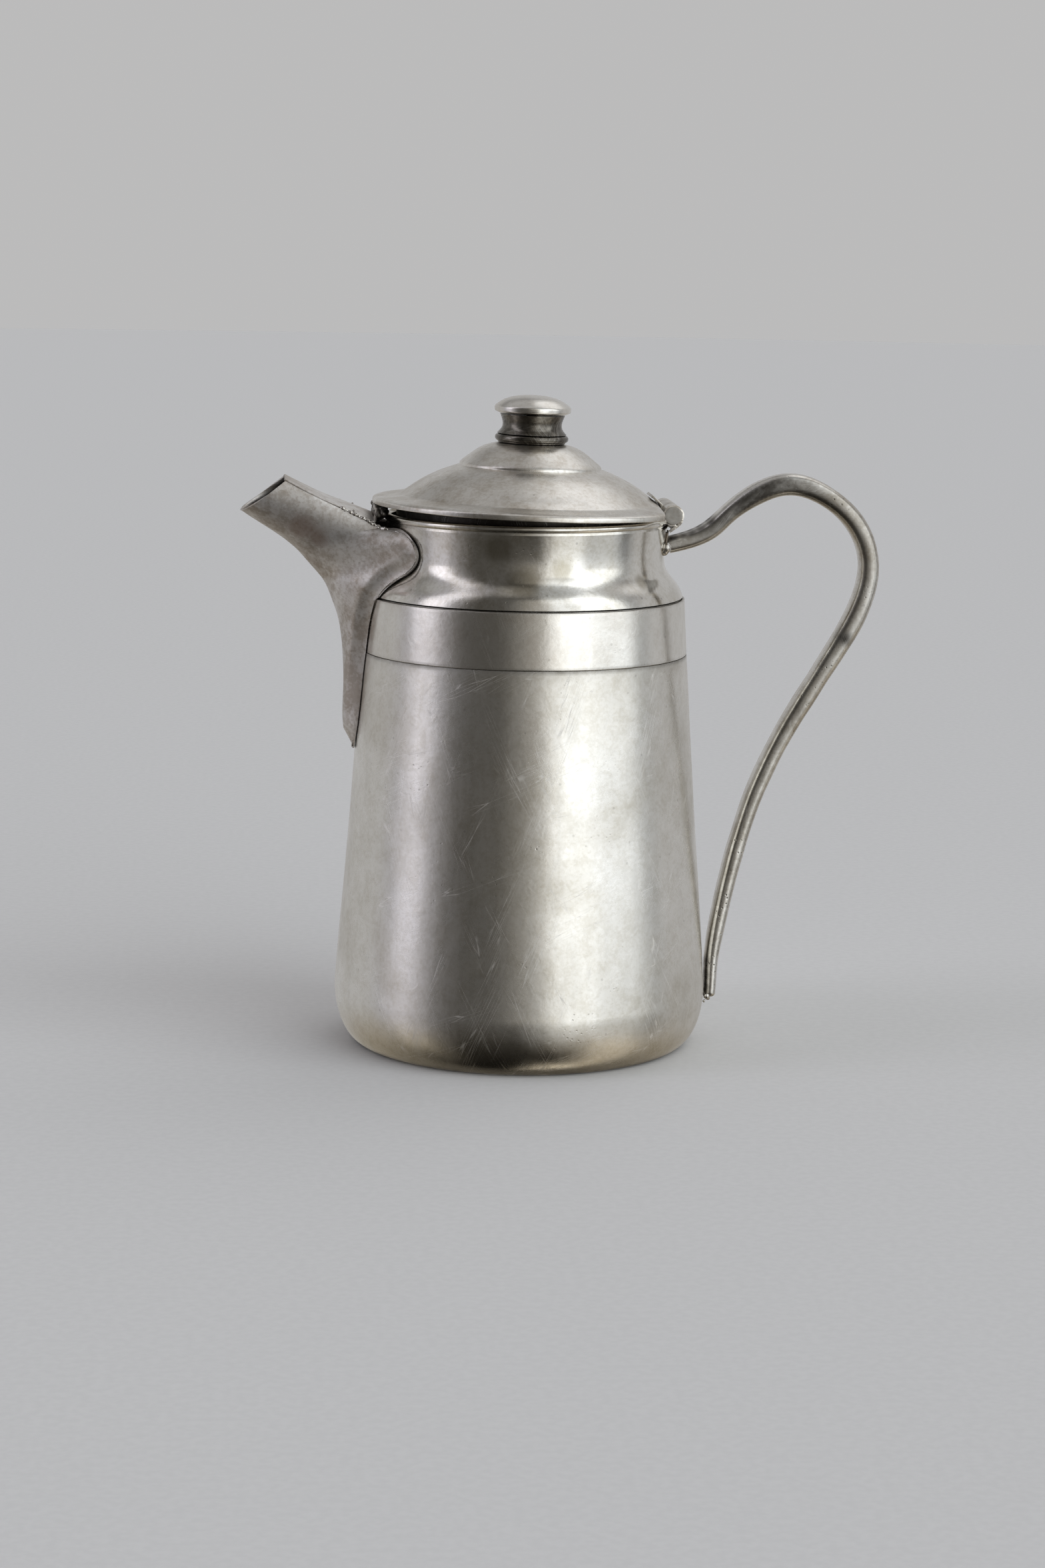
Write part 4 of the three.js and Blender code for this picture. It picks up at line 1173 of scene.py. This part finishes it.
# ------------------------ floor
floor_finish = bpy.data.materials.new("floor")
floor_finish.use_nodes = True
g = Graph(floor_finish.node_tree)
place = g.add("TexCoord").outputs["Object"]
tone = g.step(g.noise(place, 400, 3), 0.3, 0.7)
shade = g.mix(tone, (0.76, 0.76, 0.765), (0.79, 0.79, 0.795))
surface = g.add("BsdfPrincipled", {"Base Color": shade, "Roughness": 0.8})
g.add("OutputMaterial", {"Surface": surface.outputs[0]})


FLOOR_SIDES = 96
FLOOR_DROP = 0.02         # keeps the floor just clear of the pot's base


def floor_ring(name, inner, outer):
    """A flat ring of floor, just under the height that the pot stands on."""
    n = FLOOR_SIDES
    a = np.arange(n) * 2 * math.pi / n
    rings = [np.column_stack([r * np.cos(a), r * np.sin(a), np.full(n, -FLOOR_DROP)]) for r in (inner, outer)]
    obj = add_mesh(name, np.vstack(rings), grid_faces(2, n, loop_columns=True))
    for polygon in obj.data.polygons:
        if polygon.normal.z < 0:
            polygon.flip()
    obj.data.materials.append(floor_finish)
    # In the metal's reflections, the lower half of the surroundings stands for a brown table instead.
    obj.visible_glossy = False


floor_ring("floor", 0.01, 6000)

# ------------------------ light
world = bpy.data.worlds.new("studio")
world.use_nodes = True
bpy.context.scene.world = world
g = Graph(world.node_tree)
axis = g.add("SeparateXYZ", {"Vector": g.add("TexCoord").outputs["Generated"]}).outputs
TO_DEGREES = 57.296
# Degrees to the right of the camera's side, as seen from the pot, and degrees up.
turn = g.math("ARCTAN2", axis[0], g.times(axis[1], -1.0))
turn = g.math("ADD", g.times(turn, TO_DEGREES), -CAMERA_HEADING)
rise = g.times(g.math("ARCSINE", axis[2]), TO_DEGREES)


def between(value, low, high, soft):
    """1 from low to high, with soft ends."""
    start = g.step(value, low - soft, low + soft)
    stop = g.step(value, high - soft, high + soft, 1.0, 0.0)
    return g.times(start, stop)


def window(left_end, right_end, low, high, soft, strength, soft_up=8.0):
    """A soft-edged panel of light in the surroundings."""
    panel = g.times(between(turn, left_end, right_end, soft), between(rise, low, high, soft_up))
    return g.times(panel, strength)


WALL_LIGHT, CEILING_LIGHT = 0.42, 0.43
back_wall = g.step(g.math("ABSOLUTE", turn), 84, 108)
low_wall = g.times(back_wall, g.step(rise, 22, 48, 1.0, 0.0))
# The ceiling starts higher in the dark front of the room than at its sides.
side = g.step(g.math("ABSOLUTE", g.math("ADD", turn, 16)), 22, 48)
ceiling = g.most(g.step(rise, 55, 85), g.times(side, g.step(rise, 15, 55)))
front = g.step(rise, -44, -8, 0.035, 0.085)
base = g.times_plus(low_wall, WALL_LIGHT, front)
base = g.most(base, g.times(ceiling, CEILING_LIGHT))
for panel in (
    window(0, 94, -12, 60, 20, 0.40),
    window(20, 84, -38, 60, 9, 0.54, 14.0),
    window(18, 48, -20, 28, 6, 0.72),
    window(46, 82, -1.2, 60, 5, 0.55, 1.6),
    window(50, 96, -78, -32, 8, 0.80, 12.0),
    window(-96, -54, -60, 40, 12, 0.26, 12.0),
    window(-88, -66, -44, 34, 4, 0.34, 5.0),
    window(-86, -64, -1.2, 62, 5, 0.75, 1.6),
    window(112, 172, 34, 76, 12, 0.62, 12.0),
):
    base = g.math("ADD", base, panel)
# The table darkens toward the pot's foot, but for a bright stretch at the right, and turns the light brown.
base = g.times(base, g.step(rise, -84, -14, 0.12, 1.0))
for panel in (window(28, 86, -110, -68, 14, 0.75, 6.0), window(64, 92, -110, -48, 8, 0.38)):
    base = g.math("ADD", base, panel)
table = g.step(rise, -40, -12, 1.0, 0.0)
tint = g.mix(g.step(turn, -70, -35), (0.985, 0.97, 1.06), (1.0, 0.955, 0.875))
tint = g.mix(g.step(turn, 5, 32), tint, (0.965, 1.0, 1.02))
tint = g.mix(back_wall, tint, (0.99, 0.985, 0.985))
tint = g.mix(table, tint, (1.0, 0.90, 0.74))
background = g.add("Background", {"Color": tint, "Strength": base})
g.add("OutputWorld", {"Surface": background.outputs[0]})
bpy.context.scene.view_settings.view_transform = "Standard"
